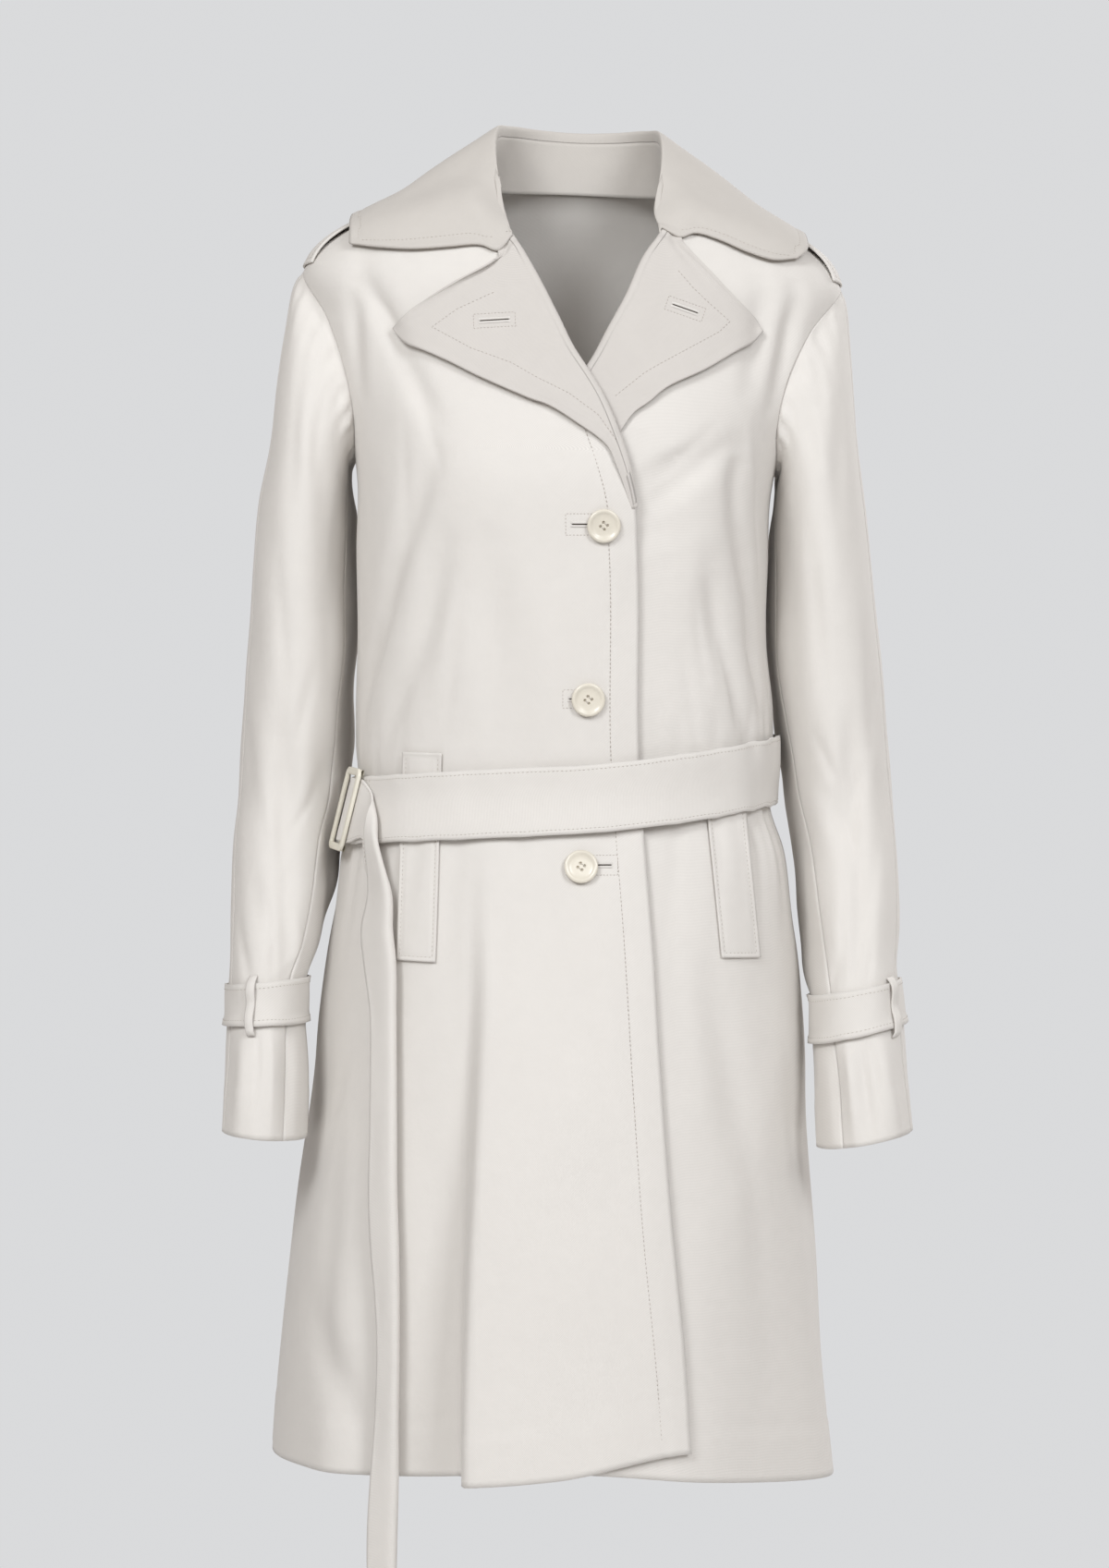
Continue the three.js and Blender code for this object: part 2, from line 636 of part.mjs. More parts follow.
// Lapels: each front turns back on itself at its roll. The rows run from the break up to the
// gorge; the outer edge passes the lapel's tip and ends at the notch beside the collar.
const lapelRows = {
  lap: table(["rollHeight", "edgeX", "edgeZ", "lift"],
    [-226, 32, -228, 0.2], [-208, 26, -212, 0.3], [-191, 18, -196, 0.5], [-170, -4, -180, 0.8], [-158, -22, -169, 1],
    [-146, -38, -163, 1], [-127, -69, -148.5, 1], [-104, -93.5, -135, 1], [-88, -120, -121, 1],
    [-75, -133, -109, 1], [-64, -117, -94, 1], [-55, -90, -78.5, 1], [-50, -61, -62.5, 1]),
  under: table(["rollHeight", "edgeX", "edgeZ", "lift"],
    [-236, -15, -233, 0], [-212, 8, -214, 0], [-190, 26, -190, 0], [-160, 38, -172.5, 0.35],
    [-138, 49.5, -164.5, 0.7], [-130, 63, -154, 1], [-113, 90, -140, 1], [-87, 117, -122, 1],
    [-71, 132.5, -110, 1], [-56, 118, -94, 1], [-47, 98, -73, 1], [-41, 77, -50, 1]),
};

// The roll's half round: how far past the panel's edge and how far out its points lie
const rollProfile = table(["past", "out"], [3.1, -1.2], [3.9, 0.5], [3.6, 2.3], [2, 3.7], [-1, 4.2]);
const lapelAcross = [0.3, 0.55, 0.78, 1];

function lapelGeometry(rows, edge, sink, side) {
  const grid = rows.map((row) => {
    const roll = new THREE.Vector2(edge(row.rollHeight).x, row.rollHeight);
    roll.y -= lean * roll.x;
    const tip = new THREE.Vector2(row.edgeX, row.edgeZ);
    const turnIn = edge(row.rollHeight - 2).x - edge(row.rollHeight + 2).x;
    const past = new THREE.Vector2(4, turnIn).normalize().multiplyScalar(-side);
    const skinAt = (spot, out) => {
      const place = frontPlace(spot.x, spot.y);
      return coatSkin(place.angle, place.height, out - sink(place.angle, place.height));
    };
    const flat = mix(0.62, 1, row.lift);
    const rolled = rollProfile.map((point) =>
      skinAt(roll.clone().addScaledVector(past, point.past), point.out > 0 ? point.out * flat : point.out));
    const spread = lapelAcross.map((share) => {
      const spot = roll.clone().lerp(tip, share);
      const out = 2.5 + row.lift * (1.5 - 1.6 * Math.sin(Math.PI * share) + 1.4 * share * share);
      return skinAt(spot, out);
    });
    return [...rolled, ...spread];
  });
  return wallBehind(grid, -side * clothThickness);
}
addPiece("lapel_right", lapelGeometry(lapelRows.lap, lapEdge, noSink, left), cloth);
addPiece("lapel_left", lapelGeometry(lapelRows.under, underEdge, underSink, right), cloth);

// Collar. Its front ends are free edges from the gorge past the notch to the tip; between
// them the stations run round the neck, each from the crest of the fold to the outer edge.
const collarEnds = {
  [left]: table(["x", "z", "out"],
    [-48.5, -41, 3.2], [-58.5, -53, 3.4], [-72, -48.5, 3.6], [-95, -50, 4.2], [-120, -51, 4.6],
    [-145, -48.5, 5], [-166, -44.5, 5]),
  [right]: table(["x", "z", "out"],
    [59.5, -35, 3.2], [73, -42, 3.4], [84, -38.5, 3.6], [101, -43.5, 4.2], [120, -52, 4.6],
    [140, -57.5, 5], [158, -55, 5]),
};
const collarStations = table(["crestX", "crestY", "crestZ", "edgeX", "edgeY", "edgeZ"],
  [55, -58, -17, 167, -46, -40],
  [61, -34, 18, 166, -24, -31],
  [61, -4, 49, 162, 6, -24],
  [51, 32, 58, 146, 56, -32],
  [28, 55, 60, 86, 90, -44],
  [0, 62, 60, 0, 99, -46]);
const collarSpans = 6;
const collarBow = 4;
const collarClear = 7.2;
const collarLip = 8; // how far the fall's edge comes down inside its fold
const collarRows = 25;

// Moves a point out until it is clear of the skin by a gap
function clearOfCoat(point, gap) {
  for (let pass = 0; pass < 3; pass += 1) {
    const height = Math.min(point.z + lean * point.x, neckLevel - 0.6);
    const ring = bodyRing(height);
    const depth = point.y < 0 ? ring.front : ring.back;
    const slant = (Math.abs(point.x - ring.centre) / ring.half) / Math.max(Math.abs(point.y) / depth, 1e-3);
    const quarter = THREE.MathUtils.radToDeg(Math.atan(slant ** (ring.square / 2)));
    const angle = (point.y < 0 ? quarter : 180 - quarter) * Math.sign(point.x || 1);
    const normal = coatNormal(angle, height);
    const short = gap - point.clone().sub(coatPoint(angle, height)).dot(normal);
    if (short > 0) point.addScaledVector(normal, short);
  }
  return point;
}

const leaned = (x, y, z) => new THREE.Vector3(x, y, z - lean * x);

function collarStation(row, side) {
  const crest = leaned(side * row.crestX, row.crestY, row.crestZ);
  const edge = leaned(side * row.edgeX, row.edgeY, row.edgeZ);
  const run = edge.clone().sub(crest);
  const round = new THREE.Vector3(-run.y, run.x, 0);
  const upward = run.clone().cross(round).normalize();
  if (upward.z < 0) upward.negate();
  return Array.from({ length: collarSpans + 1 }, (_, i) => {
    const share = i / collarSpans;
    const point = crest.clone().addScaledVector(run, share);
    point.addScaledVector(upward, collarBow * 4 * share * (1 - share));
    return i === 0 ? point : clearOfCoat(point, collarClear);
  });
}

const collarEndPoints = (side) => collarEnds[side].map((spot) => frontSkin(spot.x, spot.z, spot.out));
const collarLines = [
  collarEndPoints(left),
  ...collarStations.slice(0, -1).map((row) => collarStation(row, left)),
  collarStation(collarStations[collarStations.length - 1], right),
  ...collarStations.slice(0, -1).reverse().map((row) => collarStation(row, right)),
  collarEndPoints(right),
];

// The foot of the collar climbs each front's neck edge, then follows the neck's back half
const neckCorner = 2.25; // the station at the fronts' upper corners
const neckClimb = curvesThrough(table(["station", "height"],
  [0, -38], [1, -20], [2, 1], [neckCorner, neckLevel]), "station");
const neckRound = curvesThrough(table(["station", "turn"],
  [neckCorner, 80], [3, 95], [4, 126], [5, 155], [6, 180]), "station");
const lastStation = collarLines.length - 1;

function collarFoot(station) {
  const side = station < lastStation / 2 ? left : right;
  const near = side === left ? station : lastStation - station;
  if (near >= neckCorner) return coatPoint(side * neckRound(near).turn, neckLevel);
  const height = neckClimb(near).height;
  const edge = side === left ? lapEdge : underEdge;
  return coatPoint(edgeAngle(edge(height).x, height), height);
}

const through = (points) => new THREE.CatmullRomCurve3(points, false, "centripetal");
const collarCurves = Array.from({ length: collarSpans + 1 }, (_, i) => through(collarLines.map((line) => line[i])));

function collarFrame(share) {
  const crest = collarCurves[0].getPoint(share);
  const foot = collarFoot(share * lastStation);
  const rise = crest.clone().sub(foot);
  const tall = rise.length();
  rise.normalize();
  const outward = collarCurves[1].getPoint(share).sub(crest);
  outward.addScaledVector(rise, -outward.dot(rise)).normalize();
  return { crest, foot, rise, tall, outward };
}

function collarFallRow(share) {
  const { crest, rise, tall, outward } = collarFrame(share);
  const lip = Math.min(collarLip, 0.5 * tall);
  return [
    crest.clone().addScaledVector(outward, -1.9).addScaledVector(rise, -lip),
    crest.clone().addScaledVector(outward, -1.4).addScaledVector(rise, -0.16 * lip),
    crest.clone().addScaledVector(outward, 0.9),
    ...collarCurves.slice(1).map((curve) => curve.getPoint(share)),
  ];
}
addPiece("collar_fall", wallBehind(Array.from({ length: collarRows }, (_, i) =>
  collarFallRow(i / (collarRows - 1))), clothThickness), collarCloth);

// The stand rises from the neck edge to just under the fall's lip, two stations in at each end
const standFirst = 4;
const standRows = collarRows - 2 * standFirst;
function standRow(share) {
  const { crest, foot, rise, tall, outward } = collarFrame(share);
  const lip = Math.min(collarLip, 0.5 * tall);
  const top = crest.clone().addScaledVector(outward, -1.9).addScaledVector(rise, -lip - 2 * seamGap);
  const bottom = foot.clone().addScaledVector(rise, 5 * seamGap).addScaledVector(outward, -clothThickness);
  return [0, 0.5, 1].map((height) => bottom.clone().lerp(top, height));
}
addPiece("collar_stand", wallBehind(Array.from({ length: standRows }, (_, i) =>
  standRow((i + standFirst) / (collarRows - 1))), clothThickness), collarCloth);

// Belt: it runs from under the buckle round the front, the left side and the back, and comes
// to the buckle again from behind
const beltLine = curvesThrough(table(["angle", "height"],
  [-90, -462.5], [-60, -461], [-30, -456], [0, -449], [30, -437], [60, -426], [90, -420],
  [135, -424], [180, -436], [225, -452], [270, -462.5], [300, -461]), "angle");
const buckleAngle = -71.5;
const beltStart = -70.6;
const beltEnd = 284.2;
const beltSteps = 52;

function beltSkin(angle, across, out) {
  return coatSkin(angle, beltLine(angle).height - across * beltWidth, out);
}
const beltPoint = (out) => (row, column) =>
  beltSkin(mix(beltStart, beltEnd, row / beltSteps), column / 2 - 0.5, beltClear + out);
addPiece("belt", wallGeometry(
  gridOf(beltSteps + 1, 3, beltPoint(beltThickness)),
  gridOf(beltSteps + 1, 3, beltPoint(0))), cloth);

// The buckle's own frame on the belt's outer face: x along the belt, y up, z outwards
const onBelt = (angle, across) => beltSkin(angle, across, beltClear + beltThickness);
const buckleMiddle = onBelt(buckleAngle, -0.5).add(onBelt(buckleAngle, 0.5)).multiplyScalar(0.5);
const buckleAlong = onBelt(buckleAngle + 4, 0).sub(onBelt(buckleAngle - 4, 0));
const buckleUp = onBelt(buckleAngle, -0.5).sub(onBelt(buckleAngle, 0.5)).normalize();
const buckleOut = buckleAlong.clone().cross(buckleUp).normalize();
buckleAlong.copy(buckleUp).cross(buckleOut);
const buckleFrame = new THREE.Matrix4().makeBasis(buckleAlong, buckleUp, buckleOut).setPosition(buckleMiddle);

function solidOf(geometry) {
  const bare = geometry.clone();
  bare.deleteAttribute("normal");
  bare.deleteAttribute("uv");
  const merged = mergeVertices(bare, 1e-4);
  return new wasm.Manifold(new wasm.Mesh({
    numProp: 3,
    vertProperties: merged.attributes.position.array,
    triVerts: Uint32Array.from(merged.index.array),
  }));
}

function geometryOf(solid) {
  const mesh = solid.getMesh();
  const geometry = new THREE.BufferGeometry();
  geometry.setAttribute("position", new THREE.BufferAttribute(mesh.vertProperties, mesh.numProp));
  geometry.setIndex(new THREE.BufferAttribute(mesh.triVerts, 1));
  geometry.computeVertexNormals();
  return geometry;
}

function roundedRectangle(width, height, radius) {
  const x = width / 2;
  const y = height / 2;
  const outline = new THREE.Shape();
  outline.moveTo(-x + radius, -y);
  outline.lineTo(x - radius, -y);
  outline.quadraticCurveTo(x, -y, x, -y + radius);
  outline.lineTo(x, y - radius);
  outline.quadraticCurveTo(x, y, x - radius, y);
  outline.lineTo(-x + radius, y);
  outline.quadraticCurveTo(-x, y, -x, y - radius);
  outline.lineTo(-x, -y + radius);
  outline.quadraticCurveTo(-x, -y, -x + radius, -y);
  return outline;
}

// A rectangular slide: a frame round one window, on a foot of three bars, the middle one
// lower so that the cloth passes over it and under the frame's sides
function buckleGeometry() {
  const plain = { bevelEnabled: false, curveSegments: 3 };
  const windowWidth = buckleWidth - 2 * buckleBar;
  const windowHeight = buckleHeight - 2 * buckleBar;
  const frameOutline = roundedRectangle(buckleWidth, buckleHeight, 5);
  frameOutline.holes.push(roundedRectangle(windowWidth, windowHeight, 2));
  const frame = new THREE.ExtrudeGeometry(frameOutline, { ...plain, depth: buckleDepth });
  frame.translate(0, 0, buckleFoot + 1.7);
  const endBar = roundedRectangle(buckleWidth, buckleBar, 1);
  const middleBar = roundedRectangle(buckleBar - 1, buckleHeight - 2, 1);
  let solid = solidOf(frame);
  for (const y of [-1, 1]) {
    const bar = new THREE.ExtrudeGeometry(endBar, { ...plain, depth: 2 });
    bar.translate(0, (y * (buckleHeight - buckleBar)) / 2, buckleFoot);
    solid = solid.add(solidOf(bar));
  }
  const bar = new THREE.ExtrudeGeometry(middleBar, { ...plain, depth: 1.5 });
  bar.translate(0, 0, buckleFoot);
  return geometryOf(solid.add(solidOf(bar)));
}
const buckle = addPiece("belt_buckle", buckleGeometry(), ivory);
buckle.applyMatrix4(buckleFrame);

// The belt's tail: over the buckle's middle bar, under its side, then turned down and hanging,
// folded lengthwise in half with its fold at the viewer's right and standing off the skirt
const tailInBuckle = table(["along", "out"],
  [-8.3, -0.3], [-5.5, 1.4], [-2.9, 4], [0, 4.4], [2.9, 4.1], [6.5, 2.8], [11, 1.6], [17, 1.3]);
const tailTurning = [
  table(["x", "z", "out"],
    [-151, -478, 8.6], [-149.5, -470, 8.8], [-147, -461, 9], [-145, -453, 9.2], [-144, -445, 9]),
  table(["x", "z", "out"],
    [-150.5, -485, 8], [-146, -480, 8.6], [-141, -472, 10], [-139.5, -463, 12], [-141.5, -457, 13.5]),
  table(["x", "z", "out"],
    [-151, -496, 6], [-144, -494, 7.6], [-138, -486, 10.6], [-138, -476, 13.6], [-144, -472, 13.6]),
];
const tailHang = table(["z", "leftX", "rightX"],
  [-515, -151.5, -136], [-541, -156, -135], [-565, -154, -132.5], [-602, -149, -132],
  [-640, -148, -131.5], [-680, -148.5, -131], [-722, -149, -130.5], [-765, -147, -129],
  [-800, -144, -128.5], [-840, -142, -128.5], [-880, -143.5, -129], [-925, -147, -129],
  [-968, -149, -130], [-1014, -149, -131], [-1058, -149, -131]);
const tailSection = table(["share", "out"], [0.06, 3], [0.9, 8], [1, 11], [0.9, 14], [0, 9]);
const tailWidth = 47; // a little gathered by the buckle
const tailFlare = 8; // from this far above the hem down the tail hangs straight

function tailRows() {
  const inBuckle = tailInBuckle.map((spot) => [-0.5, -0.25, 0, 0.25, 0.5].map((share) =>
    new THREE.Vector3(spot.along, share * tailWidth, spot.out).applyMatrix4(buckleFrame)));
  const turning = tailTurning.map((row) => row.map((spot) => frontSkin(spot.x, spot.z, spot.out)));
  const hang = tailHang.map((spot) => tailSection.map((corner) => {
    const x = mix(spot.leftX, spot.rightX, corner.share);
    const skin = frontSkin(x, Math.max(spot.z, hemLevel + tailFlare), 0);
    return new THREE.Vector3(x, skin.y - corner.out, spot.z);
  }));
  return [...inBuckle, ...turning, ...hang];
}
addPiece("belt_tail", wallBehind(tailRows(), tailThickness), cloth);

// Pocket welts, slanted strips on the fronts that pass under the belt
const weltLines = { [left]: [-112, -414, -116, -563], [right]: [101, -414, 115, -561] };
const weltClear = 1.2;
const weltThickness = 1;
for (const [side, name] of [[left, "right"], [right, "left"]]) {
  const [topX, topZ, footX, footZ] = weltLines[side];
  const top = topZ + lean * topX;
  const foot = footZ + lean * footX;
  const hem = side === left ? lapHem(-50).height : underHem(50).height;
  const between = Array.from({ length: panelRows }, (_, row) => rowHeight(row, hem))
    .filter((height) => height < top - 4 && height > foot + 4);
  const heights = [top, ...between, foot];
  const weltPoint = (out) => (row, column) => {
    const height = heights[row];
    const share = (height - top) / (foot - top);
    const x = mix(topX, footX, share) + (column / 2 - 0.5) * pocketWeltWidth;
    const angle = edgeAngle(x, height);
    const sink = side === right ? underSink(angle, height) : 0;
    return coatSkin(angle, height, weltClear + out - sink);
  };
  addPiece(`pocket_welt_${name}`, wallGeometry(
    gridOf(heights.length, 3, weltPoint(weltThickness)),
    gridOf(heights.length, 3, weltPoint(0))), cloth);
}

// Buttons with a raised rim, a shallow dish and four holes
const buttonPlaces = table(["x", "z", "out"], [17, -254, 0.6], [6, -377, 0.6], [1, -496, 1.3]);
const buttonProfile = table(["across", "height"],
  [0, 0], [9, 0], [11.4, 0.8], [12, 1.8], [11.4, 2.9], [10.2, 3.2], [7.8, 2.1], [0, 1.8]);
const buttonTwist = 12;
const buttonSides = 18;
const holeSides = 6;
const drillLength = 8;

function buttonGeometry() {
  const disc = new THREE.LatheGeometry(buttonProfile.map((spot) =>
    new THREE.Vector2((spot.across * buttonDiameter) / 24, spot.height)), buttonSides);
  disc.rotateX(Math.PI / 2);
  let solid = solidOf(disc);
  for (let i = 0; i < 4; i += 1) {
    const hole = new THREE.CylinderGeometry(buttonHole / 2, buttonHole / 2, drillLength, holeSides);
    hole.rotateX(Math.PI / 2);
    const turn = radians(buttonTwist + 90 * i);
    const away = buttonHoleCircle / 2;
    hole.translate(away * Math.cos(turn), away * Math.sin(turn), 0);
    solid = solid.subtract(solidOf(hole));
  }
  return geometryOf(solid);
}

buttonPlaces.forEach((spot, i) => {
  const place = frontPlace(spot.x, spot.z);
  const outward = coatNormal(place.angle, place.height);
  const button = addPiece(`button_${i + 1}`, buttonGeometry(), ivory);
  button.position.copy(coatSkin(place.angle, place.height, spot.out));
  button.quaternion.setFromUnitVectors(new THREE.Vector3(0, 0, 1), outward);
});

export default coat;
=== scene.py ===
import math
import bpy
import numpy as np
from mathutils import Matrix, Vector


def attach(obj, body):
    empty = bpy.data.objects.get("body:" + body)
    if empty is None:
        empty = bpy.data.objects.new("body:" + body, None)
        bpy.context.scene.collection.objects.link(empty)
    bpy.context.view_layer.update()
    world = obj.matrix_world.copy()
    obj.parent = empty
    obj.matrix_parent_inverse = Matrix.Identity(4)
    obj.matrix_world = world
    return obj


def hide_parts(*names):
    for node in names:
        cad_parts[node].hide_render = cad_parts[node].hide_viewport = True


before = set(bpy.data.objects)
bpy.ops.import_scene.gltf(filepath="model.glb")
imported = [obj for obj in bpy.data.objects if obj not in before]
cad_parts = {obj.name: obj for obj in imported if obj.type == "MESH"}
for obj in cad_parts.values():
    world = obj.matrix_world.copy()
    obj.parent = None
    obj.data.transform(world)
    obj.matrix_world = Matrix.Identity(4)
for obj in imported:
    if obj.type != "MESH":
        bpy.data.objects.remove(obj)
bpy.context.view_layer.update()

# A belted trench coat in its worn hollow form. Sizes are in millimetres, in the frame's own axes,
# and makeMesh turns them into metres.
metre = 0.001
left, right = -1, 1  # the viewer's left is the wearer's right
random = np.random.default_rng(7)

viewSizes = {"distance": 2.6, "x": -0.0179, "z": -0.4369, "focalPixels": 3770, "photoHeight": 1697,
             "sensor": 36, "clip": (0.05, 60)}  # metres, pixels of the photo, millimetres of sensor
camera = bpy.data.objects.new("camera", bpy.data.cameras.new("camera"))
bpy.context.scene.collection.objects.link(camera)
camera.location = (viewSizes["x"], -viewSizes["distance"], viewSizes["z"])
camera.rotation_euler = (math.radians(90), 0, 0)
camera.data.sensor_width = viewSizes["sensor"]
camera.data.lens = viewSizes["sensor"] * viewSizes["focalPixels"] / viewSizes["photoHeight"]
camera.data.clip_start, camera.data.clip_end = viewSizes["clip"]
bpy.context.scene.camera = camera

coatSizes = {
    "cloth": 1.5, "seamTurn": 0.08,  # thickness; degrees from a panel's edge to the seam
    "lean": 0.036,  # the whole coat drops this much for each millimetre to the wearer's left
    "neckLevel": 5, "shoulderTip": -62, "armholeFoot": -200, "beltFoot": -474, "hemLevel": -926,
}
lean = coatSizes["lean"]


# Tables have named columns and a row for each station; curves run through their rows
def table(columns, *rows):
    names = columns.split()
    values = np.array(rows, float)
    return {name: values[:, i] for i, name in enumerate(names)}


beyondEnds = 0.2  # how far a curve may be read past its first and last row, in spans


def curvesThrough(columns, key):
    # c(x) = c0(1-r) + c1 r + t(1-t)^2 s m0 + t^2(t-1) s m1, with r = t^2(3-2t), over each span s
    keys = columns[key]
    direction = np.sign(keys[1] - keys[0])
    spans = np.diff(keys)
    slopes = {}
    for name, values in columns.items():
        if name == key:
            continue
        secants = np.diff(values) / spans
        size = np.abs(spans)
        inner = (secants[:-1] * size[1:] + secants[1:] * size[:-1]) / (size[:-1] + size[1:])
        slopes[name] = np.concatenate([secants[:1], inner, secants[-1:]])

    def read(value, name):
        value = np.asarray(value, float)
        i = np.clip(np.searchsorted(direction * keys, direction * value) - 1, 0, len(keys) - 2)
        span = spans[i]
        t = np.clip((value - keys[i]) / span, -beyondEnds, 1 + beyondEnds)
        rise = t * t * (3 - 2 * t)
        found = columns[name][i] * (1 - rise) + columns[name][i + 1] * rise
        found = found + t * (1 - t) ** 2 * span * slopes[name][i]
        return found + t * t * (t - 1) * span * slopes[name][i + 1]
    return read


def smooth(value, low, high):
    # t^2(3-2t) of the share t of the way from low to high
    t = np.clip((value - low) / (high - low), 0, 1)
    return t * t * (3 - 2 * t)


def bell(distance, width):
    # e to the power of -(distance / width)^2
    return np.exp(-(distance / width) ** 2)


def mix(a, b, share):
    # a at share 0, b at share 1, in a straight line between
    return a + (b - a) * share


def unit(vectors):
    # each vector divided by its length
    return vectors / np.maximum(np.linalg.norm(vectors, axis=-1, keepdims=True), 1e-9)


def through(points, t):
    # centripetal spline through points (n, ..., 3) read at t in 0..1; spans count equally
    points = np.asarray(points, float)
    last = len(points) - 1
    place = np.clip(np.asarray(t, float), 0, 1) * last
    i = np.clip(np.floor(place).astype(int), 0, last - 1)
    w = (place - i).reshape((-1,) + (1,) * (points.ndim - 1))
    padded = np.concatenate([2 * points[:1] - points[1:2], points, 2 * points[-1:] - points[-2:-1]])
    a, b, c, d = (padded[i + k] for k in range(4))
    ab, bc, cd = (np.maximum(np.linalg.norm(q - p, axis=-1, keepdims=True) ** 0.5, 1e-4)
                  for p, q in ((a, b), (b, c), (c, d)))
    start = ((b - a) / ab - (c - a) / (ab + bc) + (c - b) / bc) * bc
    end = ((c - b) / bc - (d - b) / (bc + cd) + (d - c) / cd) * bc
    squared, cubed = 3 * (c - b) - 2 * start - end, 2 * (b - c) + start + end
    return b + start * w + squared * w ** 2 + cubed * w ** 3


endDepth = 0.35  # a crease's depth at its ends, as a share of its depth half way


def troughs(lines, across, down):
    # -depth * bell(distance to the segment, width), fading to its ends, added up over all the lines
    push = np.zeros(np.broadcast(across, down).shape)
    for x1, z1, x2, z2, width, depth in zip(*lines):
        dx, dz = x2 - x1, z2 - z1
        t = np.clip(((across - x1) * dx + (down - z1) * dz) / (dx * dx + dz * dz), 0, 1)
        fading = endDepth + (1 - endDepth) * np.sin(np.pi * t)
        push -= depth * fading * bell(np.hypot(across - x1 - dx * t, down - z1 - dz * t), width)
    return push


# The body's rings: a superellipse at each height, deeper in front or behind, dropped in front
bodyRings = table("height centre half front back square drop",
    [5, 0, 70, 54, 58, 2.1, 9], [-3, -1, 108, 62, 66, 2.1, 8], [-15, -1.5, 143, 68, 74, 2.1, 6],
    [-28, -2, 167, 74, 81, 2.15, 4], [-42, -3, 186, 80, 87, 2.2, 2],
    [-62, -4.5, 200, 89, 94, 2.25, 0], [-100, -5, 190, 101, 103, 2.3, 0],
    [-137, -6, 177, 113, 109, 2.35, 0], [-183, -9, 160, 128, 110, 2.4, 0],
    [-215, -11, 154, 134, 108, 2.4, 0], [-272, -12.5, 153, 131, 101, 2.35, 0],
    [-331, -12.5, 152.5, 126, 97, 2.3, 0], [-377, -10.5, 155, 122, 95, 2.3, 0],
    [-412, -10.5, 155, 119, 95, 2.3, 0], [-449, -10.5, 155, 118, 96, 2.3, 0],
    [-480, -10.5, 167, 126, 105, 2.2, 0], [-541, -11, 174, 139, 119, 2.15, 0],
    [-583, -12, 177.5, 148, 125, 2.1, 0], [-640, -13.5, 183, 159, 131, 2.1, 0],
    [-715, -16, 189.5, 173, 138, 2.1, 0], [-790, -18.5, 195.5, 185, 144, 2.1, 0],
    [-864, -20, 201.5, 192, 149, 2.1, 0], [-950, -19, 209, 199, 156, 2.1, 0])
bodyRing = curvesThrough(bodyRings, "height")

# Folds of the skirt, each stepping from one depth to another where it passes its angle
skirtFolds = table("top hem before beforeSpread after afterSpread edge",
    (-19, -17.5, -34, 30, 14, 26, 3), (12, 24, 3, 10, 3, 10, 3), (46, 50, -7, 13, -7, 13, 4),
    (66, 70, 5, 9, 5, 9, 4), (-46, -50, 6, 8, 6, 8, 4), (112, 118, 14, 11, 14, 11, 4),
    (138, 141, -12, 9, -12, 9, 4), (162, 164, 17, 10, 15, 11, 4), (-174, -172, -12, 9, -12, 9, 4),
    (-149, -151, 16, 9, 18, 11, 4), (-121, -122, -12, 10, -12, 10, 4), (-102, -105, 9, 9, 9, 9, 4))

# the fronts' main creases, each a trough between two places; a negative depth is a ridge
creases = table("x1 z1 x2 z2 width depth",
    [-159, -62, -124, -141, 11, 5], [-124, -141, -104, -182, 11, 4], [-165, -80, -160, -154, 9, 4],
    [-104, -207, -147, -339, 12, 6], [-147, -339, -158, -386, 10, 4],
    [-97, -273, -117, -352, 12, 5], [-117, -352, -142, -412, 11, 4], [-61, -273, -60, -414, 13, 4],
    [133, -70, 124, -144, 11, 5], [158, -72, 142, -154, 10, 6], [44, -222, 88, -194, 10, 4],
    [50, -238, 108, -188, 10, 4], [114, -194, 114, -246, 11, 5], [114, -246, 124, -299, 11, 6],
    [124, -299, 134, -378, 10, 5], [94, -279, 108, -352, 12, 5], [108, -352, 122, -404, 11, 5],
    [-192, -820, -160, -905, 14, 5], [96, -560, 118, -700, 15, 4], [-20, -500, -6, -640, 16, 4])
# finer drag lines and pulls, the same way
fineCreases = table("x1 z1 x2 z2 width depth",
    [-146, -92, -122, -128, 5, 1.4], [-118, -160, -100, -214, 5, 1.2],
    [-126, -186, -128, -262, 6, 1.3], [-120, -250, -146, -312, 5, -1.2],
    [-132, -300, -150, -366, 4, 1.4], [-90, -300, -104, -372, 5, -1],
    [-86, -330, -98, -404, 5, 1.3], [-40, -320, -46, -420, 7, 1.2], [-30, -300, -20, -410, 6, -0.8],
    [30, -262, 62, -250, 5, 0.9], [36, -276, 84, -262, 6, -0.8], [46, -236, 92, -206, 4, 1.1],
    [60, -214, 98, -176, 5, 1.2], [122, -170, 128, -232, 5, -1.2], [128, -214, 132, -280, 4, 1.3],
    [84, -300, 92, -362, 5, 1.2], [74, -340, 86, -412, 5, 1.1], [100, -330, 112, -394, 4, -1],
    [136, -330, 142, -406, 4, 1.3], [54, -380, 60, -424, 5, 0.8], [14, -330, 12, -420, 6, 0.7],
    [-130, -500, -136, -640, 8, 1.6], [-96, -500, -92, -610, 9, 1.3],
    [-60, -500, -52, -640, 10, 1.5], [30, -500, 36, -600, 9, 1.1], [62, -500, 74, -640, 9, 1.6],
    [-176, -700, -186, -860, 9, 1.8], [-128, -690, -138, -880, 11, -1.6],
    [-104, -700, -110, -900, 12, 1.6], [20, -700, 34, -880, 13, 1.2],
    [120, -640, 140, -860, 11, 1.8], [84, -720, 92, -900, 12, -1.4], [150, -620, 168, -800, 8, 1.6],
    [-170, -640, -186, -700, 7, 1.5], [-10, -800, 6, -905, 11, 1.2])


